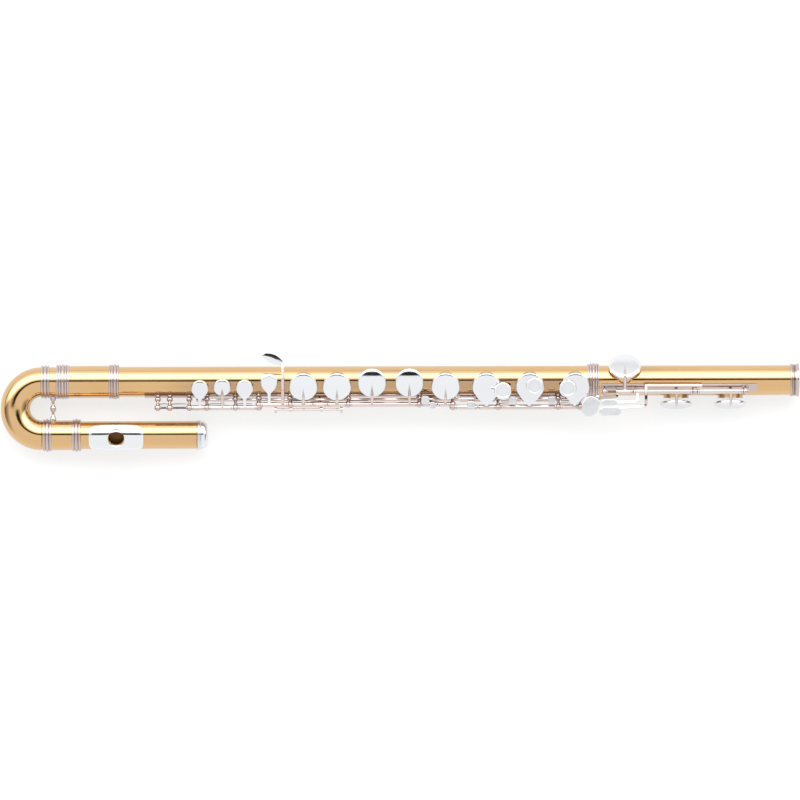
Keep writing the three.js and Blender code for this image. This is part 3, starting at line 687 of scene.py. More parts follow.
@dataclass
class HeadJoint:
    """The curved head: bend, legs, rings, lip plate, brace and crown."""

    spacing: float = 48.0
    head_end: float = 139.5
    mouth_x: float = 67.0
    mouth_turn: float = math.radians(11.5)
    mouth_hole: tuple[float, float] = (13.2, 11.4)
    lip: tuple[float, float] = (49.0, 27.0)

    def at_mouth(self) -> Matrix:
        """Place of the mouth hole: Z runs out of the lower tube through its middle."""
        return Matrix.Translation((self.mouth_x, LEG_Y, 0)) @ Matrix.Rotation(self.mouth_turn, 4, "X")

    def bend(self) -> None:
        """The U bend: two skins swept round its centre and joined at both mouths."""
        former = Former()
        centre, sides = Vector((0, -self.spacing / 2, 0)), 72
        skins = []
        for radius in (TUBE_R - 0.15, TUBE_R - 0.9):
            ring = [former.mesh.verts.new((0, radius * math.cos(a), radius * math.sin(a)))
                    for a in (math.tau * k / sides for k in range(sides))]
            edges = [former.mesh.edges.new((ring[k - 1], ring[k])) for k in range(sides)]
            made = bmesh.ops.spin(
                former.mesh, geom=[*ring, *edges], cent=centre, axis=(0, 0, 1), angle=math.pi,
                steps=sides, use_merge=False, use_duplicate=False,
            )
            last = [item for item in made["geom_last"] if isinstance(item, bmesh.types.BMEdge)]
            skins.append((edges, last))
        for outer, inner in zip(*skins):
            bmesh.ops.bridge_loops(former.mesh, edges=[*outer, *inner])
        bmesh.ops.recalc_face_normals(former.mesh, faces=list(former.mesh.faces))
        former.finish("u_bend_fine", GOLD, "head", "gold_lacquer", ("u_bend",))

    def upper_leg(self) -> None:
        """The upper leg, which ends in the tenon that slides in the barrel."""
        upper = Former()
        upper.turn([(BORE_R - 0.4, 0.4), (TUBE_R - 0.15, 0.4), (TUBE_R - 0.15, 13.1), (TUBE_R - 0.9, 13.3),
                    (TUBE_R - 0.9, 39.4), (BORE_R - 0.4, 39.4)], along_x(0), 96)
        upper.finish("head_tenon_fine", GOLD, "head", "gold_lacquer", ("head_tenon",))

    def rings(self) -> None:
        """The upper leg's ring and the lower leg's gold socket with its two bands, as rows of beads."""
        upper = Former()
        widths = [2.2, 0.25, 2.9, 0.25, 2.1]
        line = bead_row(-0.7, widths, TUBE_R + 0.15, [1.0, 0.0, 1.3, 0.0, 1.0])
        upper.turn([(TUBE_R + 0.05, -0.7), *line, (TUBE_R + 0.05, sum(widths) - 0.7)], along_x(0), 96)
        upper.finish("upper_leg_ring_fine", NICKEL, "head", "nickel_silver", ("upper_leg_ring",))
        base, inside = SOCKET_R, LEG_R + 0.3
        skin = Former()
        skin.turn([(inside, 0.4), (base, 0.4), (base, 32.8), (inside, 32.8)], along_x(0, LEG_Y), 96)
        skin.finish("mouth_socket_fine", GOLD, "head", "gold_lacquer", ("mouth_socket",))
        bands = Former()
        widths = [2.1, 0.25, 3.0, 0.25, 2.2]
        for start in (1.0, 27.2):
            line = bead_row(start, widths, base + 0.05, [0.8, 0.0, 1.45, 0.0, 0.85])
            bands.turn([(base - 0.2, start), *line, (base - 0.2, start + sum(widths))], along_x(0, LEG_Y), 96)
        bands.finish("mouth_socket_bands", NICKEL, "head", "nickel_silver")

    def lip_plate(self) -> None:
        """The lip plate: a saddle bent round the tube, with the mouth hole sunk through its riser."""
        half_x, half_y = self.lip[0] / 2, self.lip[1] / 2
        radius = LEG_R + 3.3
        former = Former()
        bmesh.ops.create_grid(former.mesh, x_segments=64, y_segments=40, size=0.5)
        hole_x, hole_y = self.mouth_hole[0] / 2, self.mouth_hole[1] / 2
        for vert in former.mesh.verts:
            u, v = vert.co.x * 2, vert.co.y * 2
            reach = max(abs(u), abs(v)) or 1e-6
            angle = math.atan2(v * half_y, u * half_x)
            rim = self._outline_reach(angle, half_x, half_y, 4.2)
            hole = self._outline_reach(angle, hole_x, hole_y, 2.6)
            far = hole + (rim - hole) * reach
            vert.co = (far * math.cos(angle), far * math.sin(angle), reach)
        inner = [face for face in former.mesh.faces if face.calc_center_median().z < 0.06]
        bmesh.ops.delete(former.mesh, geom=inner, context="FACES")
        for vert in former.mesh.verts:
            x, y, reach = vert.co
            end_fall = 1.5 * max(0.0, abs(x) / half_x - 0.35) ** 2
            edge_fall = 0.5 * max(0.0, reach - 0.85) / 0.15
            height = radius + 1.0 - end_fall - edge_fall
            swing = y / radius
            vert.co = (x, height * math.sin(swing), height * math.cos(swing))
        rim = [edge for edge in former.mesh.edges
               if edge.is_boundary and edge.verts[0].co.xy.length < hole_x + 2]
        wall = bmesh.ops.extrude_edge_only(former.mesh, edges=rim)
        sunk = [item for item in wall["geom"] if isinstance(item, bmesh.types.BMVert)]
        for vert in sunk:
            vert.co.z -= 3.6
            vert.co.xy *= 1.04
        bmesh.ops.recalc_face_normals(former.mesh, faces=list(former.mesh.faces))
        up = sum(face.normal.z for face in former.mesh.faces)
        if up < 0:
            bmesh.ops.reverse_faces(former.mesh, faces=list(former.mesh.faces))
        bmesh.ops.solidify(former.mesh, geom=list(former.mesh.faces), thickness=0.9)
        bmesh.ops.recalc_face_normals(former.mesh, faces=list(former.mesh.faces))
        place = self.at_mouth()
        bmesh.ops.transform(former.mesh, matrix=place, verts=list(former.mesh.verts))
        riser = [(9.6, LEG_R - 0.6), (9.3, LEG_R + 0.8), (8.6, radius), (7.6, radius), (7.6, LEG_R - 0.6)]
        former.turn(riser, place, 64)
        former.finish("lip_plate_fine", SILVER, "head", "silver_plate", ("lip_plate",), crease=50)

    @staticmethod
    def _outline_reach(angle: float, half_x: float, half_y: float, power: float) -> float:
        """Distance from the middle to a rounded-square outline in a direction."""
        c, s = abs(math.cos(angle)) / half_x, abs(math.sin(angle)) / half_y
        return (c ** power + s ** power) ** (-1 / power)

    def lower_tube(self) -> None:
        """The lower head tube with its mouth hole."""
        start, end = 4.6, self.head_end
        tube = Former()
        tube.turn([(0, start), (LEG_R, start), (LEG_R, end), (0, end)], along_x(0, LEG_Y), 128)
        base = working_object(tube)
        bore = Former()
        bore.turn([(0, 0), (LEG_R - 0.7, 0), (LEG_R - 0.7, 150), (0, 150)], along_x(0, LEG_Y), 128)
        combine(base, working_object(bore), "DIFFERENCE")
        place = self.at_mouth()
        shape = Matrix.Diagonal((self.mouth_hole[0] / 2 + 0.5, self.mouth_hole[1] / 2 + 0.5, 1, 1))
        cutter = Former()
        cutter.turn([(0, 2), (1, 2), (1, 30), (0, 30)], place @ shape, 48)
        combine(base, working_object(cutter), "DIFFERENCE")
        former = reopened(base)
        inside = former.lined(LEG_Y, LEG_R - 0.55)
        made = former.finish("mouth_tube_fine", GOLD, "head", "gold_lacquer", ("mouth_tube",), crease=28)
        line_bore(made, inside)

    def brace(self) -> None:
        """The turned brace between the legs."""
        near, far = -TUBE_R - 0.1, LEG_Y + SOCKET_R + 0.1
        length = near - far
        shape = [(0, 0), (2.7, 0), (2.7, 0.08), (2.2, 0.13), (1.3, 0.2), (1.1, 0.3), (1.5, 0.36), (2.3, 0.41),
                 (2.75, 0.5), (2.3, 0.59), (1.5, 0.64), (1.1, 0.7), (1.3, 0.8), (2.2, 0.87), (2.7, 0.92),
                 (2.7, 1), (0, 1)]
        former = Former()
        place = Matrix.Translation((10.0, far, 0)) @ Matrix.Rotation(-math.pi / 2, 4, "X")
        former.turn([(radius, share * length) for radius, share in shape], place, 40)
        former.finish("brace_post_fine", NICKEL, "head", "nickel_silver", ("brace_post",), crease=50)

    def crown(self) -> None:
        """The crown with its ring."""
        start = self.head_end + 0.3
        tip = start + 9.5
        quarter = [math.pi / 2 * k / 8 for k in range(9)]
        dome = [(LEG_R - 0.2 - 4.4 * (1 - math.cos(a)), start + 4.2 + 5.0 * math.sin(a)) for a in quarter]
        line = [(0, start + 4.6), (2.4, start + 4.4), (2.4, start + 0.2), (LEG_R + 1.0, start),
                *bead_row(start + 0.1, [1.7, 1.2], LEG_R + 0.3, [0.85, 0.5]),
                (LEG_R - 0.1, start + 3.4), *dome, (5.2, tip - 0.25), (4.6, tip), (0, tip)]
        former = Former()
        former.turn(line, along_x(0, LEG_Y), 96)
        former.finish("crown_fine", SILVER, "crown", "silver_plate", ("crown",))

    def build(self) -> None:
        """Makes every piece of the head."""
        self.bend()
        self.upper_leg()
        self.rings()
        self.lower_tube()
        self.lip_plate()
        self.brace()
        self.crown()


@dataclass
class Sleeves:
    """Barrel, ferrule and end ring."""

    barrel_start: float = 13.5
    barrel_end: float = 69.3

    def build(self) -> None:
        """Makes the barrel with its bands, the ferrule and the end ring."""
        inside, skin = TUBE_R + 0.3, TUBE_R + 1.05
        barrel = Former()
        start, end = self.barrel_start + 0.2, self.barrel_end - 0.2
        barrel.turn([(inside, start), (skin, start), (skin, end), (inside, end)], along_x(0), 128)
        barrel.finish("barrel_fine", GOLD, "body", "gold_lacquer", ("barrel",))
        bands = Former()
        rows = (
            (self.barrel_start - 0.4, [1.9, 0.25, 2.0, 0.25, 2.9, 0.25, 2.0, 2.1],
             [0.75, 0.0, 0.9, 0.0, 1.05, 0.0, 0.8, 0.5]),
            (self.barrel_end - 9, [1.8, 0.25, 2.0, 0.25, 2.7, 0.25, 1.9],
             [0.65, 0.0, 0.85, 0.0, 1.1, 0.0, 0.75]),
        )
        for start, widths, rises in rows:
            line = bead_row(start, widths, skin + 0.05, rises)
            bands.turn([(skin - 0.2, start), *line, (skin - 0.2, start + sum(widths))], along_x(0), 128)
        bands.finish("barrel_bands", NICKEL, "body", "nickel_silver")
        start = BODY_END - 2.2
        beads = bead_row(start, [1.7, 0.25, 2.0, 0.25, 2.7, 0.25, 2.0, 1.5], skin,
                         [0.5, 0.0, 0.95, 0.0, 1.2, 0.0, 0.95, 0.5])
        ferrule = Former()
        ferrule.turn([(inside, start), *beads, (inside, start + 10.6)], along_x(0), 128)
        ferrule.finish("body_ferrule_fine", NICKEL, "body", "nickel_silver", ("body_ferrule",))
        ring = Former()
        end = FOOT_END + END_RING
        line = bead_row(FOOT_END - 1.2, [1.5, 1.3], TUBE_R + 0.35, [0.95, 0.6])
        ring.turn([(TUBE_R + 0.2, FOOT_END - 1.2), *line, (TUBE_R + 0.4, end - 3.6),
                   (TUBE_R + 0.7, end - 2.4), (TUBE_R + 1.25, end - 1.6), (TUBE_R + 1.3, end - 0.5),
                   (TUBE_R + 1.0, end), (BORE_R + 0.6, end), (BORE_R + 0.25, end - 0.4),
                   (BORE_R + 0.25, FOOT_END + 1.2), (TUBE_R + 0.2, FOOT_END + 0.8)], along_x(0), 128)
        ring.finish("foot_end_ring_fine", NICKEL, "foot", "nickel_silver", ("foot_end_ring",))


# ---------------------------------------------------------------- ribs and posts
@dataclass
class PostRow:
    """Ball-headed posts along one hinge line, with the steel that they carry."""

    line: tuple[float, float]
    stations: list[float]
    beaded: bool = True

    def post(self, former: Former, x: float) -> None:
        """Adds one turned post: foot, bead over the trill rods, neck and ball head."""
        y, z = self.line
        reach = math.hypot(y, z)
        turn = math.atan2(-y, z)
        foot = TUBE_R + 0.9
        profile = [(0, foot - 0.6), (2.9, foot - 0.6), (2.9, foot + 0.3), (2.2, foot + 0.8),
                   (1.3, foot + 1.3)]
        if self.beaded:
            bead, half_turn = foot + 3.1, [math.pi * k / 8 for k in range(9)]
            profile += [(1.4 + 1.5 * math.sin(a), bead - 1.6 * math.cos(a)) for a in half_turn]
        neck, ball, opening = reach - 2.7, 2.85, 0.75
        profile += [(1.1, neck - 1.0), (1.25, neck - 0.4), (1.9, neck - 0.1)]
        sweep = [opening + (math.pi - opening) * k / 10 for k in range(10)]
        profile += [(ball * math.sin(a), reach - ball * math.cos(a)) for a in sweep]
        former.turn([*profile, (0, reach + ball)], radial(x, turn), 28)
        former.collar(1.45, 3.0, (0.2, 0.2), along_x(x, y, z), 20)

    def steel(self, name: str, body: str) -> None:
        """Makes the steel rod that runs through the row."""
        former = Former()
        y, z = self.line
        former.rod(STEEL_R, (min(self.stations) - 1.5, y, z), (max(self.stations) + 1.5, y, z))
        former.finish(name + "_fine", STEEL, body, "steel", (name,))


@dataclass
class Rib:
    """A long strip, bent to the tube, with posts standing on it."""

    name: str
    body: str
    span: tuple[float, float]
    turn: float
    rows: list[PostRow]
    holes: list[tuple[float, float, Size]]

    def build(self) -> None:
        """Makes the rib with its posts as one piece."""
        half = 3.5 / TUBE_R
        inside, outside = TUBE_R + 0.08, TUBE_R + 1.1
        angles = [-half + 2 * half * k / 8 for k in range(9)]
        section = [(outside, a) for a in angles] + [(inside, a) for a in reversed(angles)]
        strip = Former()
        start, end = self.span
        corners = [(start, -radius * math.sin(self.turn + a), radius * math.cos(self.turn + a))
                   for radius, a in section]
        face = strip.mesh.faces.new([strip.mesh.verts.new(corner) for corner in corners])
        raised = bmesh.ops.extrude_face_region(strip.mesh, geom=[face])
        ends = [item for item in raised["geom"] if isinstance(item, bmesh.types.BMVert)]
        bmesh.ops.translate(strip.mesh, vec=(end - start, 0, 0), verts=ends)
        bmesh.ops.holes_fill(strip.mesh, edges=list(strip.mesh.edges), sides=24)
        bmesh.ops.recalc_face_normals(strip.mesh, faces=list(strip.mesh.faces))
        base = working_object(strip)
        rooms = Former()
        near = [hole for hole in self.holes if start - 15 < hole[0] < end + 15]
        for x, turn, size in near:
            room = size.chimney + 0.25
            rooms.turn([(0, 6), (room, 6), (room, 26), (0, 26)], radial(x, turn), 48)
        if near:
            combine(base, working_object(rooms), "DIFFERENCE")
        former = reopened(base)
        for row in self.rows:
            for x in row.stations:
                if start < x < end:
                    row.post(former, x)
        former.finish(self.name + "_fine", NICKEL, self.body, "nickel_silver", (self.name,), crease=40)


@dataclass
class Needle:
    """A blued needle spring, pinned in a post and lying against a catch of its key."""

    post_x: float
    length: float
    line: tuple[float, float]

    def add(self, former: Former) -> None:
        """Adds the needle, a little bowed."""
        y, z = self.line[0] + 3.2, self.line[1] - 2.0
        former.strap([(self.post_x, y, z), (self.post_x + self.length * 0.5, y + 0.5, z + 0.2),
                      (self.post_x + self.length, y + 0.2, z + 0.1)], [0.75, 0.65, 0.45], 0.7, (0, 0, 1), 2)


# ---------------------------------------------------------------- keys
@dataclass
class CupKey:
    """A hinge tube with one or more padded cups and the arms to them."""

    name: str
    span: tuple[float, float]
    line: tuple[float, float]
    cups: dict[str, tuple[float, float, Size]]
    arm: Arm = Arm.TEARDROP
    rest: float = 0.0
    arm_shift: float = 0.0

    def tube(self, former: Former) -> None:
        """Adds the hinge tube, with a turned collar at each end."""
        start, end = self.span
        r = KEY_TUBE_R
        near = [(STEEL_R + 0.1, 0.0), (r - 0.25, 0.0), (r, 0.25), (r, 1.2), (r - 0.18, 1.35),
                (r - 0.18, 1.6), (r, 1.75)]
        profile = [(radius, start + back) for radius, back in near]
        profile += [(radius, end - back) for radius, back in reversed(near)]
        former.turn(profile, along_x(0, *self.line), 32)

    def cup(self, former: Former, place: Matrix, size: Size) -> None:
        """Adds one pad cup: its face, a bevel that steepens outwards, a rounded rim and the hollow below."""
        r, top, low = size.cup, CUP_TOP, PAD_PLANE + 0.5
        crown, bevel, round_over = self.crown(size), 1.4, 0.75
        steep = math.radians(29)
        flat = r - bevel - round_over * (1 - math.sin(steep))
        face = [(flat * k / 8, top + crown * (1 - (k / 8) ** 2) - 0.25) for k in range(9)]
        rim, height = [], top - 0.25
        for k in range(6):
            height -= bevel / 6 * math.tan(math.radians(17 + 2 * k + 1))
            rim.append((flat + bevel * (k + 1) / 6, height))
        corner = [steep + (math.pi / 2 - steep) * k / 5 for k in range(1, 6)]
        rim += [(r + round_over * (math.sin(a) - 1), height + round_over * (math.cos(a) - math.cos(steep)))
                for a in corner]
        under = [(r, low + 0.15), (r - 0.12, low), (r - 0.7, low), (r - 0.7, top - 1.6), (0, top - 1.6)]
        former.turn([*face, *rim, *under], place, 72)

    def level(self, x: float, y: float, z: float) -> Matrix:
        """Place of a touch that lies level once the key hangs at its rest angle."""
        return Matrix.Translation((x, y, z)) @ Matrix.Rotation(-self.rest, 4, "X")

    def crown(self, size: Size) -> float:
        """How far the middle of a cup's face stands up: only large cups with pointed arms are domed."""
        return (0.115 if self.arm is Arm.POINTED and size is Size.LARGE else 0.02) * size.cup

    def reach_over(self, former: Former, place: Matrix, size: Size) -> None:
        """Adds the arm from the hinge tube over a cup's rim to its middle."""
        y, z = self._seen(place)
        side = 1.0 if y > 0 else -1.0
        r, reach = size.cup, abs(y)
        top = CUP_TOP + self.crown(size)
        rise = min(z + 1.2, top)
        if self.arm is Arm.POINTED:
            path = [(reach, z + 0.6), (reach - 0.8, rise),
                    (min(r + 2.0, reach - 1.6), (rise + top) / 2 + 0.7), (r - 0.2, top + 0.2),
                    (r * 0.8, top + 0.35), (r * 0.4, top + 0.35), (r * 0.02, top - 0.1)]
            widths, thick = [3.0, 2.9, 2.8, 2.7, 2.5, 1.5, 0.2], 1.6
        else:
            drop = min(1.0, (reach - 2.0) / (1.42 * r))
            path = [(reach, z + 0.6), (reach - 0.8, rise), (1.36 * r * drop, top - 1.0),
                    (1.2 * r * drop, top - 0.9), (0.98 * r * drop, top - 0.76), (0.8 * r, top - 0.72),
                    (0.55 * r, top - 0.80), (0.3 * r, top - 1.05)]
            widths, thick = [2.6, 2.5, 2.4, 0.55 * r, 0.98 * r, 1.28 * r, 1.6 * r, 1.5 * r], 0.8
        points = [tuple(place @ Vector((self.arm_shift * (1 - index / 8), side * across, height)))
                  for index, (across, height) in enumerate(path)]
        up = tuple(place.to_3x3() @ Vector((0, 0, 1)))
        former.strap(points, widths, thick, up, 2, ridged=self.arm is Arm.POINTED)

    def _seen(self, place: Matrix) -> tuple[float, float]:
        """The hinge line as the cup sees it: sideways and outwards from its middle."""
        point = place.inverted() @ Vector((place.translation.x, *self.line))
        return point.y, point.z

    def reach_under(self, former: Former, x: float, size: Size, place: Matrix) -> None:
        """Adds the arm of a back key, which goes down outside the trill rods to its cup."""
        middle = place @ Vector((0, 0, CUP_TOP + 0.4))
        path = [(x, self.line[0] - 0.4, self.line[1] - 0.5), (x, -22.6, 7.2), (x, -23.1, 2.6),
                (x, -22.2, -1.6), (x, middle.y - 0.4, middle.z + size.cup * 0.5), (x, middle.y, middle.z)]
        up = place.to_3x3() @ Vector((0, 0, 1))
        former.strap(path, [3.0, 3.0, 3.0, 3.2, 3.4, 2.0], 1.3, tuple(up), 2)

    def extra(self, former: Former, rods: Former) -> None:
        """Adds whatever else a key carries; plain cup keys carry nothing."""

    def build(self) -> None:
        """Makes the key and its pads, hung at the angle where they rest."""
        former, rods = Former(), Former()
        self.tube(rods)
        for x, turn, size in self.cups.values():
            place = radial(x, turn)
            self.cup(former, place, size)
            if self.arm is Arm.BACK:
                self.reach_under(rods, x, size, place)
            else:
                self.reach_over(rods if self.arm is Arm.POINTED else former, place, size)
        self.extra(former, rods)
        rods.hung(self.line, self.rest)
        rods.finish(self.name + "_rod", KEY_NICKEL, self.name, "silver_plate", (self.name,), crease=42)
        former.hung(self.line, self.rest)
        former.finish(self.name + "_fine", SILVER, self.name, "silver_plate", (), crease=42)
        for pad, (x, turn, size) in self.cups.items():
            r = size.cup - 0.9
            skin = Former()
            skin.turn([(0, PAD_PLANE + 0.12), (r * 0.6, PAD_PLANE + 0.02), (r - 0.8, PAD_PLANE),
                       (r - 0.25, PAD_PLANE + 0.2), (r, PAD_PLANE + 0.7), (r, CUP_TOP - 1.3),
                       (0, CUP_TOP - 1.3)], radial(x, turn), 64)
            skin.hung(self.line, self.rest)
            skin.finish(pad + "_fine", PAD_SKIN, self.name, "pad_skin", (pad,), crease=60)


@dataclass
class ButtonKey(CupKey):
    """A cup key with a round finger button beside its cup."""

    button: Point = (0.0, 0.0, 0.0)
    foot: tuple[float, float] = (0.0, 0.0)

    def extra(self, former: Former, rods: Former) -> None:
        """Adds the button, with a raised ring round a shallow dish, and the bracket under it."""
        x, y, z = self.button
        foot_x, foot_y = self.foot
        bracket = [(foot_x, foot_y, z - 1.9), ((x + foot_x) / 2, (y + foot_y) / 2, z - 1.2), (x, y, z + 0.2)]
        former.strap(bracket, [4.6, 4.2, 4.0], 1.2, (0, 0, 1), 1)
        r = 7.7
        profile = [(0, z), (r - 0.5, z), (r, z + 0.35), (r, z + 1.3), (r - 0.35, z + 1.65),
                   (r - 0.7, z + 1.7), (r - 1.7, z + 1.7), (r - 1.95, z + 1.6), (r - 2.1, z + 1.48),
                   (r - 2.4, z + 1.45), (0, z + 1.45)]
        former.turn(profile, Matrix.Translation((x, y, 0)), 64)


@dataclass
class FirstFingerKey(CupKey):
    """The first key of the left hand, worked by a long spatula on the far side of the tube."""

    strap_x: float = 216.9

    def extra(self, former: Former, rods: Former) -> None:
        """Adds the strap over the tube and the spatula that hangs from it."""
        x = self.strap_x
        over = [(-21.0, 12.4), (-18.8, 16.2), (-14.5, 19.2), (-6.0, 22.0), (4.0, 22.0), (12.5, 19.4),
                (17.5, 15.2)]
        points = [(x, y, z) for y, z in over]
        for one, two in zip(points, points[1:]):
            up = (0, one[1] + two[1], 26)
            rods.strap([one, two], [2.8, 2.8], 1.4, up, 0)
        leaf = [(x + 0.6, 15.0, 15.4), (x - 0.8, 17.0, 15.6), (x - 5.0, 19.0, 15.4), (207.0, 21.6, 14.8),
                (201.0, 23.6, 14.2), (197.6, 24.8, 13.9)]
        lean = (0, 0.087, 1)
        former.strap(leaf, [2.4, 4.4, 8.0, 8.4, 5.4, 0.9], 0.45, lean, 2, ridged=True)
        under = [(at, across, height - 0.55) for at, across, height in leaf]
        former.strap(under, [2.0, 4.0, 7.4, 7.8, 4.8, 0.6], 0.9, lean, 2)


@dataclass
class SideTouchKey(CupKey):
    """The G sharp key, with its two small touches beside the hinge tube."""

    def extra(self, former: Former, rods: Former) -> None:
        """Adds the upright and the two touches."""
        rods.strap([(344.9, -20.4, 11.4), (344.9, -18.6, 15.0)], [3.0, 3.0], 1.5, (0, 1, 0.4), 1)
        former.plate(rounded_box(7.4, 6.8, 1.6), 1.4, Matrix.Translation((344.9, -17.3, 14.4)), 0.35)
        former.plate(rounded_box(6.2, 6.2, 2.6), 1.5, Matrix.Translation((351.6, -22.2, 12.6)), 0.35)


@dataclass
class FootDSharpKey(CupKey):
    """The D sharp key of the foot, with the little finger's round touch."""

    def extra(self, former: Former, rods: Former) -> None:
        """Adds the arm and the touch."""
        y, z = self.line
        rods.strap([(517.4, y, z + 0.4), (517.4, -13.4, 20.6), (515.5, -14.9, 20.6), (507.0, -15.2, 20.5),
                    (498.5, -15.6, 20.4)], [2.6, 2.6, 2.8, 3.2, 4.4], 1.5, (0, 0, 1), 2)
        cos, sin = math.cos(-0.5), math.sin(-0.5)
        outline = [(x * cos - across * sin, x * sin + across * cos)
                   for x, across in rounded_box(14.6, 18.5, 6.9, 10)]
        former.plate(outline, 1.7, Matrix.Translation((493.0, -23.4, 19.6)), 0.5)


@dataclass
class LowCSharpKey(CupKey):
    """The low C sharp key, with its long touch."""

    def extra(self, former: Former, rods: Former) -> None:
        """Adds the arm and the touch."""
        y, z = self.line
        rods.strap([(535.4, y, z + 0.4), (535.4, -17.5, 20.5), (534.0, -19.5, 20.5), (524.0, -19.7, 20.4),
                    (512.0, -19.8, 20.4)], [2.6, 2.5, 2.5, 2.6, 4.0], 1.5, (0, 0, 1), 2)
        former.plate(rounded_box(14.0, 6.4, 3.1, 9), 1.9, self.level(510.4, -20.3, 19.7), 0.6)


@dataclass
class LowCKey(CupKey):
    """The low C key, carried past its neighbour by a second rod."""

    def extra(self, former: Former, rods: Former) -> None:
        """Adds the link, the second rod with its collars, the arm and the touch."""
        y, z = self.line
        rod_line = (-5.4, 23.4)
        rods.strap([(592.2, y, z), (592.2, *rod_line)], [2.8, 2.8], 2.1, (0, 1, 1), 0)
        rods.rod(1.35, (541.6, *rod_line), (593.6, *rod_line), 0.3, 28)
        for at in (546.0, 589.0):
            rods.collar(1.75, 0.8, (0.25, 0.5), along_x(at, *rod_line), 28)
        rods.strap([(543.0, -4.8, 23.5), (543.0, -14.0, 23.5), (543.0, -20.0, 22.4), (543.0, -22.6, 21.7),
                    (540.5, -24.0, 21.4), (528.0, -24.4, 21.2), (514.0, -25.2, 21.0)],
                   [2.6, 2.5, 2.5, 2.5, 2.5, 2.5, 4.5], 1.5, (0, 0, 1), 2)
        former.plate(rounded_box(19.4, 8.0, 3.9, 10), 1.8, self.level(510.9, -28.3, 20.0), 0.6)


@dataclass
class SideLever(CupKey):
    """The short B flat lever of the right hand."""

    def extra(self, former: Former, rods: Former) -> None:
        """Adds the upright and the touch."""
        y, z = self.line
        rods.strap([(386, y, z), (386, -22.4, 14.2)], [3.0, 3.0], 1.6, (0, 1, 0.2), 1)
        former.plate(rounded_box(7.4, 5.8, 1.9), 1.5, Matrix.Translation((386, -21.4, 13.6)), 0.4)


@dataclass
class TrillLever:
    """A long lever on the trill line: a rod or sleeve with a finger at one end and a touch."""

    name: str
    lengths: list[tuple[float, float, float]]
    finger_x: float
    touch_x: float

    def build(self) -> None:
        """Makes the lever."""
        former, rods = Former(), Former()
        y, z = TRILL_LINE
        for start, end, radius in self.lengths:
            rods.rod(radius, (start, y, z), (end, y, z), 0.25, 28)
        rods.strap([(self.finger_x, y, z), (self.finger_x, -14.6, 9.4), (self.finger_x, -13.1, 11.4)],
                   [2.6, 2.4, 2.2], 1.0, (0, 1, 0.6), 1)
        rods.strap([(self.touch_x, y, z), (self.touch_x, -16.6, 14.7)], [3.2, 3.2], 1.6, (0, 1, 0), 0)
        former.plate(rounded_box(6.8, 6.6, 1.5), 1.4, Matrix.Translation((self.touch_x, -17.8, 14.4)), 0.35)
        rods.finish(self.name + "_rod", KEY_NICKEL, self.name, "silver_plate", (self.name,), crease=40)
        former.finish(self.name + "_fine", SILVER, self.name, "silver_plate", (), crease=40)


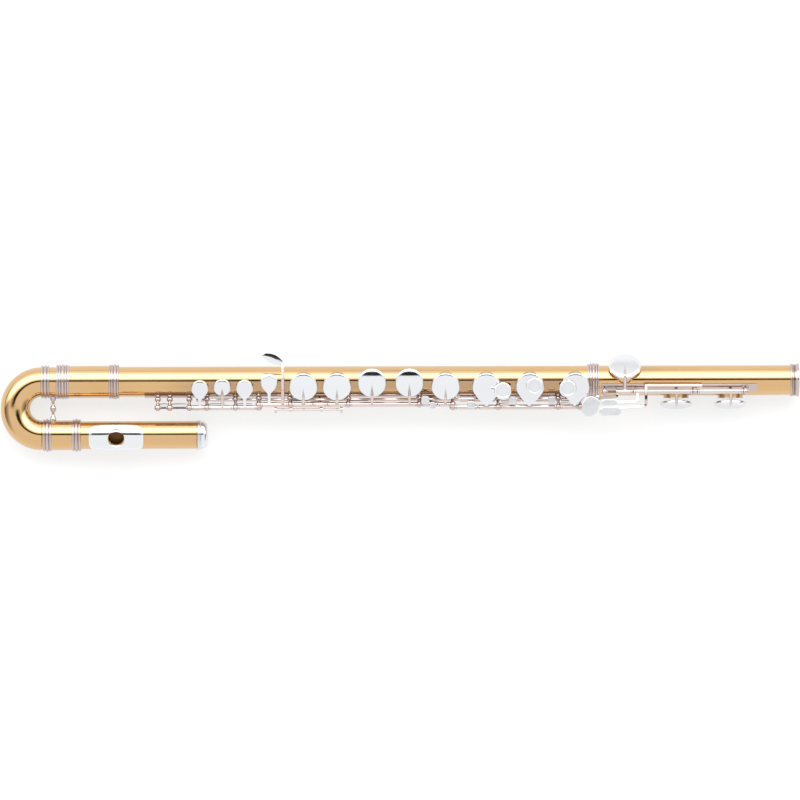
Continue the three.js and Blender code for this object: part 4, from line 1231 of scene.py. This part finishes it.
@dataclass
class KeyWork:
    """Every rib, post, spring and key."""

    upper: list[float] = field(default_factory=lambda: [104.4, 115.2, 132.8, 148.5, 174.2, 195.3])
    left: list[float] = field(default_factory=lambda: [195.3, 223.5, 275.5, 339.3, 369.5])
    right: list[float] = field(default_factory=lambda: [369.5, 410.2, 464.4, 484.0])
    foot: list[float] = field(default_factory=lambda: [506.0, 587.2, 632.5])

    def frames(self) -> None:
        """Makes ribs, posts and steels."""
        upper, left = PostRow(RIGHT_LINE, self.upper), PostRow(LEFT_LINE, self.left)
        right, foot = PostRow(RIGHT_LINE, self.right), PostRow(FOOT_LINE, self.foot, beaded=False)
        holes, low = list(body_holes().values()), list(foot_holes().values())
        Rib("left_hand_rib", "body", (92.5, 372.9), math.radians(66), [upper, left, right], holes).build()
        Rib("right_hand_rib", "body", (373.3, 487.5), math.radians(66), [right], holes).build()
        Rib("foot_rib", "foot", (503.0, 643.0), math.radians(27), [foot], low).build()
        upper.steel("upper_steel", "body")
        left.steel("left_hand_steel", "body")
        right.steel("right_hand_steel", "body")
        foot.steel("foot_steel", "foot")

    def springs(self) -> None:
        """Makes the needle springs and the short outer rod, which the CAD model leaves out."""
        former = Former()
        for x, length in ((104.4, 10), (115.2, 16), (148.5, 17), (174.2, 15), (195.3, 16)):
            Needle(x, length, RIGHT_LINE).add(former)
        for x, length in ((223.5, 16), (275.5, 18), (339.3, 12), (410.2, 17), (464.4, 11)):
            Needle(x, length, LEFT_LINE if x < self.right[0] else RIGHT_LINE).add(former)
        former.finish("needle_springs", STEEL, "body", "steel")
        outer, outer_line = Former(), (-25.4, 9.0)
        outer.rod(1.2, (209.5, *outer_line), (270.5, *outer_line), 0.2)
        for x in (210.5, 224.0, 251.5, 269.5):
            outer.collar(2.1, 1.3, (0.2, 0.4), along_x(x, *outer_line))
        for x in (210.5, 269.5):
            outer.rod(0.95, (x, *outer_line), (x, -28.6, 7.6), 0.3, 16)
        outer.finish("outer_short_rod", KEY_NICKEL, "body", "nickel_silver")

    def keys(self) -> None:
        """Makes every key."""
        hole = {**body_holes(), **foot_holes()}
        pointed, back = Arm.POINTED, Arm.BACK

        def cups(*names: str) -> dict[str, tuple[float, float, Size]]:
            """The holes that a key shuts, by the name of the pad on each."""
            return {name + "_pad": hole[name] for name in names}

        made = [
            CupKey("d_sharp_trill_key", (134.8, 146.6), RIGHT_LINE, cups("d_sharp_trill")),
            CupKey("d_trill_key", (150.5, 172.3), RIGHT_LINE, cups("d_trill"), pointed),
            CupKey("c_vent_key", (176.1, 193.4), RIGHT_LINE, cups("c_vent"), rest=OPEN),
            FirstFingerKey("c_sharp_key", (197.3, 221.5), LEFT_LINE, cups("c_sharp"), rest=OPEN),
            CupKey("b_flat_key", (225.5, 243.6), LEFT_LINE, cups("b_flat"), pointed, OPEN),
            CupKey("thumb_key", (244.2, 256.4), LEFT_LINE, cups("thumb"), back, -OPEN),
            CupKey("a_key", (257.0, 273.5), LEFT_LINE, cups("a"), pointed, OPEN),
            CupKey("g_key", (277.5, 337.3), LEFT_LINE, cups("g_upper", "g_lower"), pointed, OPEN),
            SideTouchKey("g_sharp_key", (341.3, 355.5), LEFT_LINE, cups("g_sharp"), back),
            CupKey("f_sharp_key", (356.1, 367.5), LEFT_LINE, cups("f_sharp"), pointed, OPEN),
            SideLever("b_flat_lever", (371.5, 391.9), RIGHT_LINE, {}),
            ButtonKey("f_key", (392.5, 408.2), RIGHT_LINE, cups("f"), rest=OPEN,
                      button=(414.5, -7.5, BUTTON_Z), foot=(404, -6.4)),
            ButtonKey("e_key", (412.2, 462.4), RIGHT_LINE, cups("e"), rest=OPEN, arm_shift=-1.1,
                      button=(443.0, -3.4, BUTTON_Z), foot=(440, -4.4)),
            ButtonKey("d_key", (466.4, 482.0), RIGHT_LINE, cups("d"), rest=OPEN, arm_shift=-1.0,
                      button=(472.8, -5.6, BUTTON_Z), foot=(476, -5.4)),
            FootDSharpKey("d_sharp_key", (516.2, 531.0), FOOT_LINE, cups("d_sharp"), pointed),
            LowCSharpKey("low_c_sharp_key", (532.0, 584.6), FOOT_LINE, cups("low_c_sharp"), pointed,
                         -FOOT_OPEN),
            LowCKey("low_c_key", (589.6, 630.2), FOOT_LINE, cups("low_c"), pointed, -FOOT_OPEN),
        ]
        for key in made:
            key.build()
        core, thin, stout = 0.75, THIN_TUBE_R, 2.4
        TrillLever("d_trill_lever", [(152.0, 430.8, thin), (376.0, 407.4, stout), (413.0, 430.6, stout)],
                   hole["d_trill"][0], 423.0).build()
        TrillLever("d_sharp_trill_lever", [
            (139.0, 485.5, core), (139.0, 145.8, thin), (431.4, 482.2, thin),
            (431.6, 461.6, stout), (467.2, 481.2, stout),
        ], hole["d_sharp_trill"][0], 458.6).build()

    def build(self) -> None:
        """Makes all of it."""
        self.frames()
        self.springs()
        self.keys()


# ---------------------------------------------------------------- studio
@dataclass(frozen=True)
class Studio:
    """Pale floor, a banded soft surround and the camera above.

    A band is an angle in degrees about the flute's length, from straight up, and its brightness.
    """

    distance: float = 8.0
    lens: float = 400.0
    turn: float = math.radians(-0.15)
    aim: tuple[float, float] = (0.00045, 0.00116)
    bands: tuple[tuple[float, float], ...] = (
        (-180, 0.72), (-128, 0.75), (-120, 0.8), (-106, 1.0), (-84, 1.1), (-74, 1.1), (-39, 1.08),
        (-31, 1.1), (-8, 1.1), (12, 1.05), (19, 1.4), (25, 3.6), (52, 4.2), (62, 2.0), (74, 1.5),
        (90, 0.9), (96, 0.8), (138, 0.8), (180, 0.72),
    )

    def surround(self) -> None:
        """Builds the world: brightness by the angle about X, dimmer ends and a thin dark strip overhead."""
        world = bpy.data.worlds.new("studio")
        bpy.context.scene.world = world
        world.use_nodes = True
        kit = NodeKit(world.node_tree)
        shader = world.node_tree.nodes["Background"]
        place = kit.add("ShaderNodeTexCoord")
        split = kit.add("ShaderNodeSeparateXYZ")
        kit.link(place.outputs["Generated"], split.inputs["Vector"])
        around = kit.add("ShaderNodeMath", operation="ARCTAN2")
        kit.link(split.outputs["Y"], around.inputs[0])
        kit.link(split.outputs["Z"], around.inputs[1])
        fit = kit.add("ShaderNodeMapRange", From_Min=-math.pi, From_Max=math.pi)
        kit.link(around.outputs["Value"], fit.inputs["Value"])
        ramp = kit.add("ShaderNodeValToRGB")
        stops = ramp.color_ramp.elements
        while len(stops) < len(self.bands):
            stops.new(0.5)
        top = max(level for _, level in self.bands)
        for stop, (angle, level) in zip(stops, self.bands):
            stop.position = (angle + 180) / 360
            stop.color = (level / top, level / top, level / top, 1)
        kit.link(fit.outputs["Result"], ramp.inputs["Fac"])
        ends = kit.add("ShaderNodeMath", operation="ABSOLUTE")
        kit.link(split.outputs["X"], ends.inputs[0])
        dim = kit.add("ShaderNodeMapRange", From_Min=0.72, From_Max=1.0, To_Min=1.0, To_Max=0.18)
        kit.link(ends.outputs["Value"], dim.inputs["Value"])
        dark = None
        angle = around.outputs["Value"]
        limits = ((angle, 0.2, 1.4), (angle, 12.4, 11.0), (ends.outputs["Value"], 38.0, 18.0))
        for source, clear, full in limits:
            step = kit.add("ShaderNodeMapRange", From_Min=math.radians(clear), From_Max=math.radians(full))
            kit.link(source, step.inputs["Value"])
            if dark is None:
                dark = step.outputs["Result"]
                continue
            both = kit.add("ShaderNodeMath", operation="MULTIPLY")
            kit.link(dark, both.inputs[0])
            kit.link(step.outputs["Result"], both.inputs[1])
            dark = both.outputs["Value"]
        spot = kit.add("ShaderNodeMapRange", To_Min=1.0, To_Max=0.02)
        kit.link(dark, spot.inputs["Value"])
        shade = kit.add("ShaderNodeMath", operation="MULTIPLY")
        kit.link(dim.outputs["Result"], shade.inputs[0])
        kit.link(spot.outputs["Result"], shade.inputs[1])
        level = kit.add("ShaderNodeMath", operation="MULTIPLY")
        kit.link(ramp.outputs["Color"], level.inputs[0])
        kit.link(shade.outputs["Value"], level.inputs[1])
        bright = kit.add("ShaderNodeMath", operation="MULTIPLY")
        bright.inputs[1].default_value = top
        kit.link(level.outputs["Value"], bright.inputs[0])
        seen = kit.add("ShaderNodeLightPath")
        choice = kit.add("ShaderNodeMix", data_type="FLOAT")
        choice.inputs[3].default_value = 0.9
        kit.link(seen.outputs["Is Camera Ray"], choice.inputs[0])
        kit.link(bright.outputs["Value"], choice.inputs[2])
        kit.link(choice.outputs[0], shader.inputs["Color"])

    def floor(self) -> None:
        """Lays the white, faintly glowing floor under the lowest point."""
        low = CAD_BOUNDS[0][2]
        former = bmesh.new()
        bmesh.ops.create_grid(former, x_segments=1, y_segments=1, size=6.0)
        bmesh.ops.translate(former, vec=(0, 0, low), verts=list(former.verts))
        data = bpy.data.meshes.new("floor")
        former.to_mesh(data)
        former.free()
        paper = SoftFinish("floor_paper", (0.25, 0.25, 0.25), (0.245, 0.245, 0.245), 700.0, 0.9, 0.0).build()
        glow = paper.node_tree.nodes["Principled BSDF"]
        glow.inputs["Emission Color"].default_value = (1.0, 1.0, 1.0, 1.0)
        glow.inputs["Emission Strength"].default_value = 0.70
        data.materials.append(paper)
        floor = bpy.data.objects.new("floor", data)
        bpy.context.scene.collection.objects.link(floor)

    def camera(self) -> None:
        """Hangs the camera straight above."""
        data = bpy.data.cameras.new("camera")
        data.lens = self.lens
        data.sensor_width = 36.0
        data.clip_end = 100.0
        camera = bpy.data.objects.new("camera", data)
        camera.location = (*self.aim, self.distance + 0.016)
        camera.rotation_euler = (0, 0, self.turn)
        bpy.context.scene.collection.objects.link(camera)
        bpy.context.scene.camera = camera

    def build(self) -> None:
        """Sets everything up."""
        bpy.context.scene.view_settings.view_transform = "Standard"
        self.surround()
        self.floor()
        self.camera()


def main() -> None:
    """Builds the looks of the whole flute."""
    logging.basicConfig(level=logging.INFO)
    HeadJoint().build()
    Sleeves().build()
    HoledTube("body_tube", BODY_START, BODY_END, "body", list(body_holes().values())).build()
    HoledTube("foot_tube", FOOT_START, FOOT_END, "foot", list(foot_holes().values()), (493.4, 502.4)).build()
    KeyWork().build()
    cork = bpy.data.objects.get("head_cork")
    screw = bpy.data.objects.get("stopper_screw")
    for node, material in ((cork, CORK), (screw, SILVER)):
        if node:
            node.data.materials.clear()
            node.data.materials.append(material)
    Studio().build()
    bpy.context.view_layer.update()


if __name__ == "__main__":
    main()
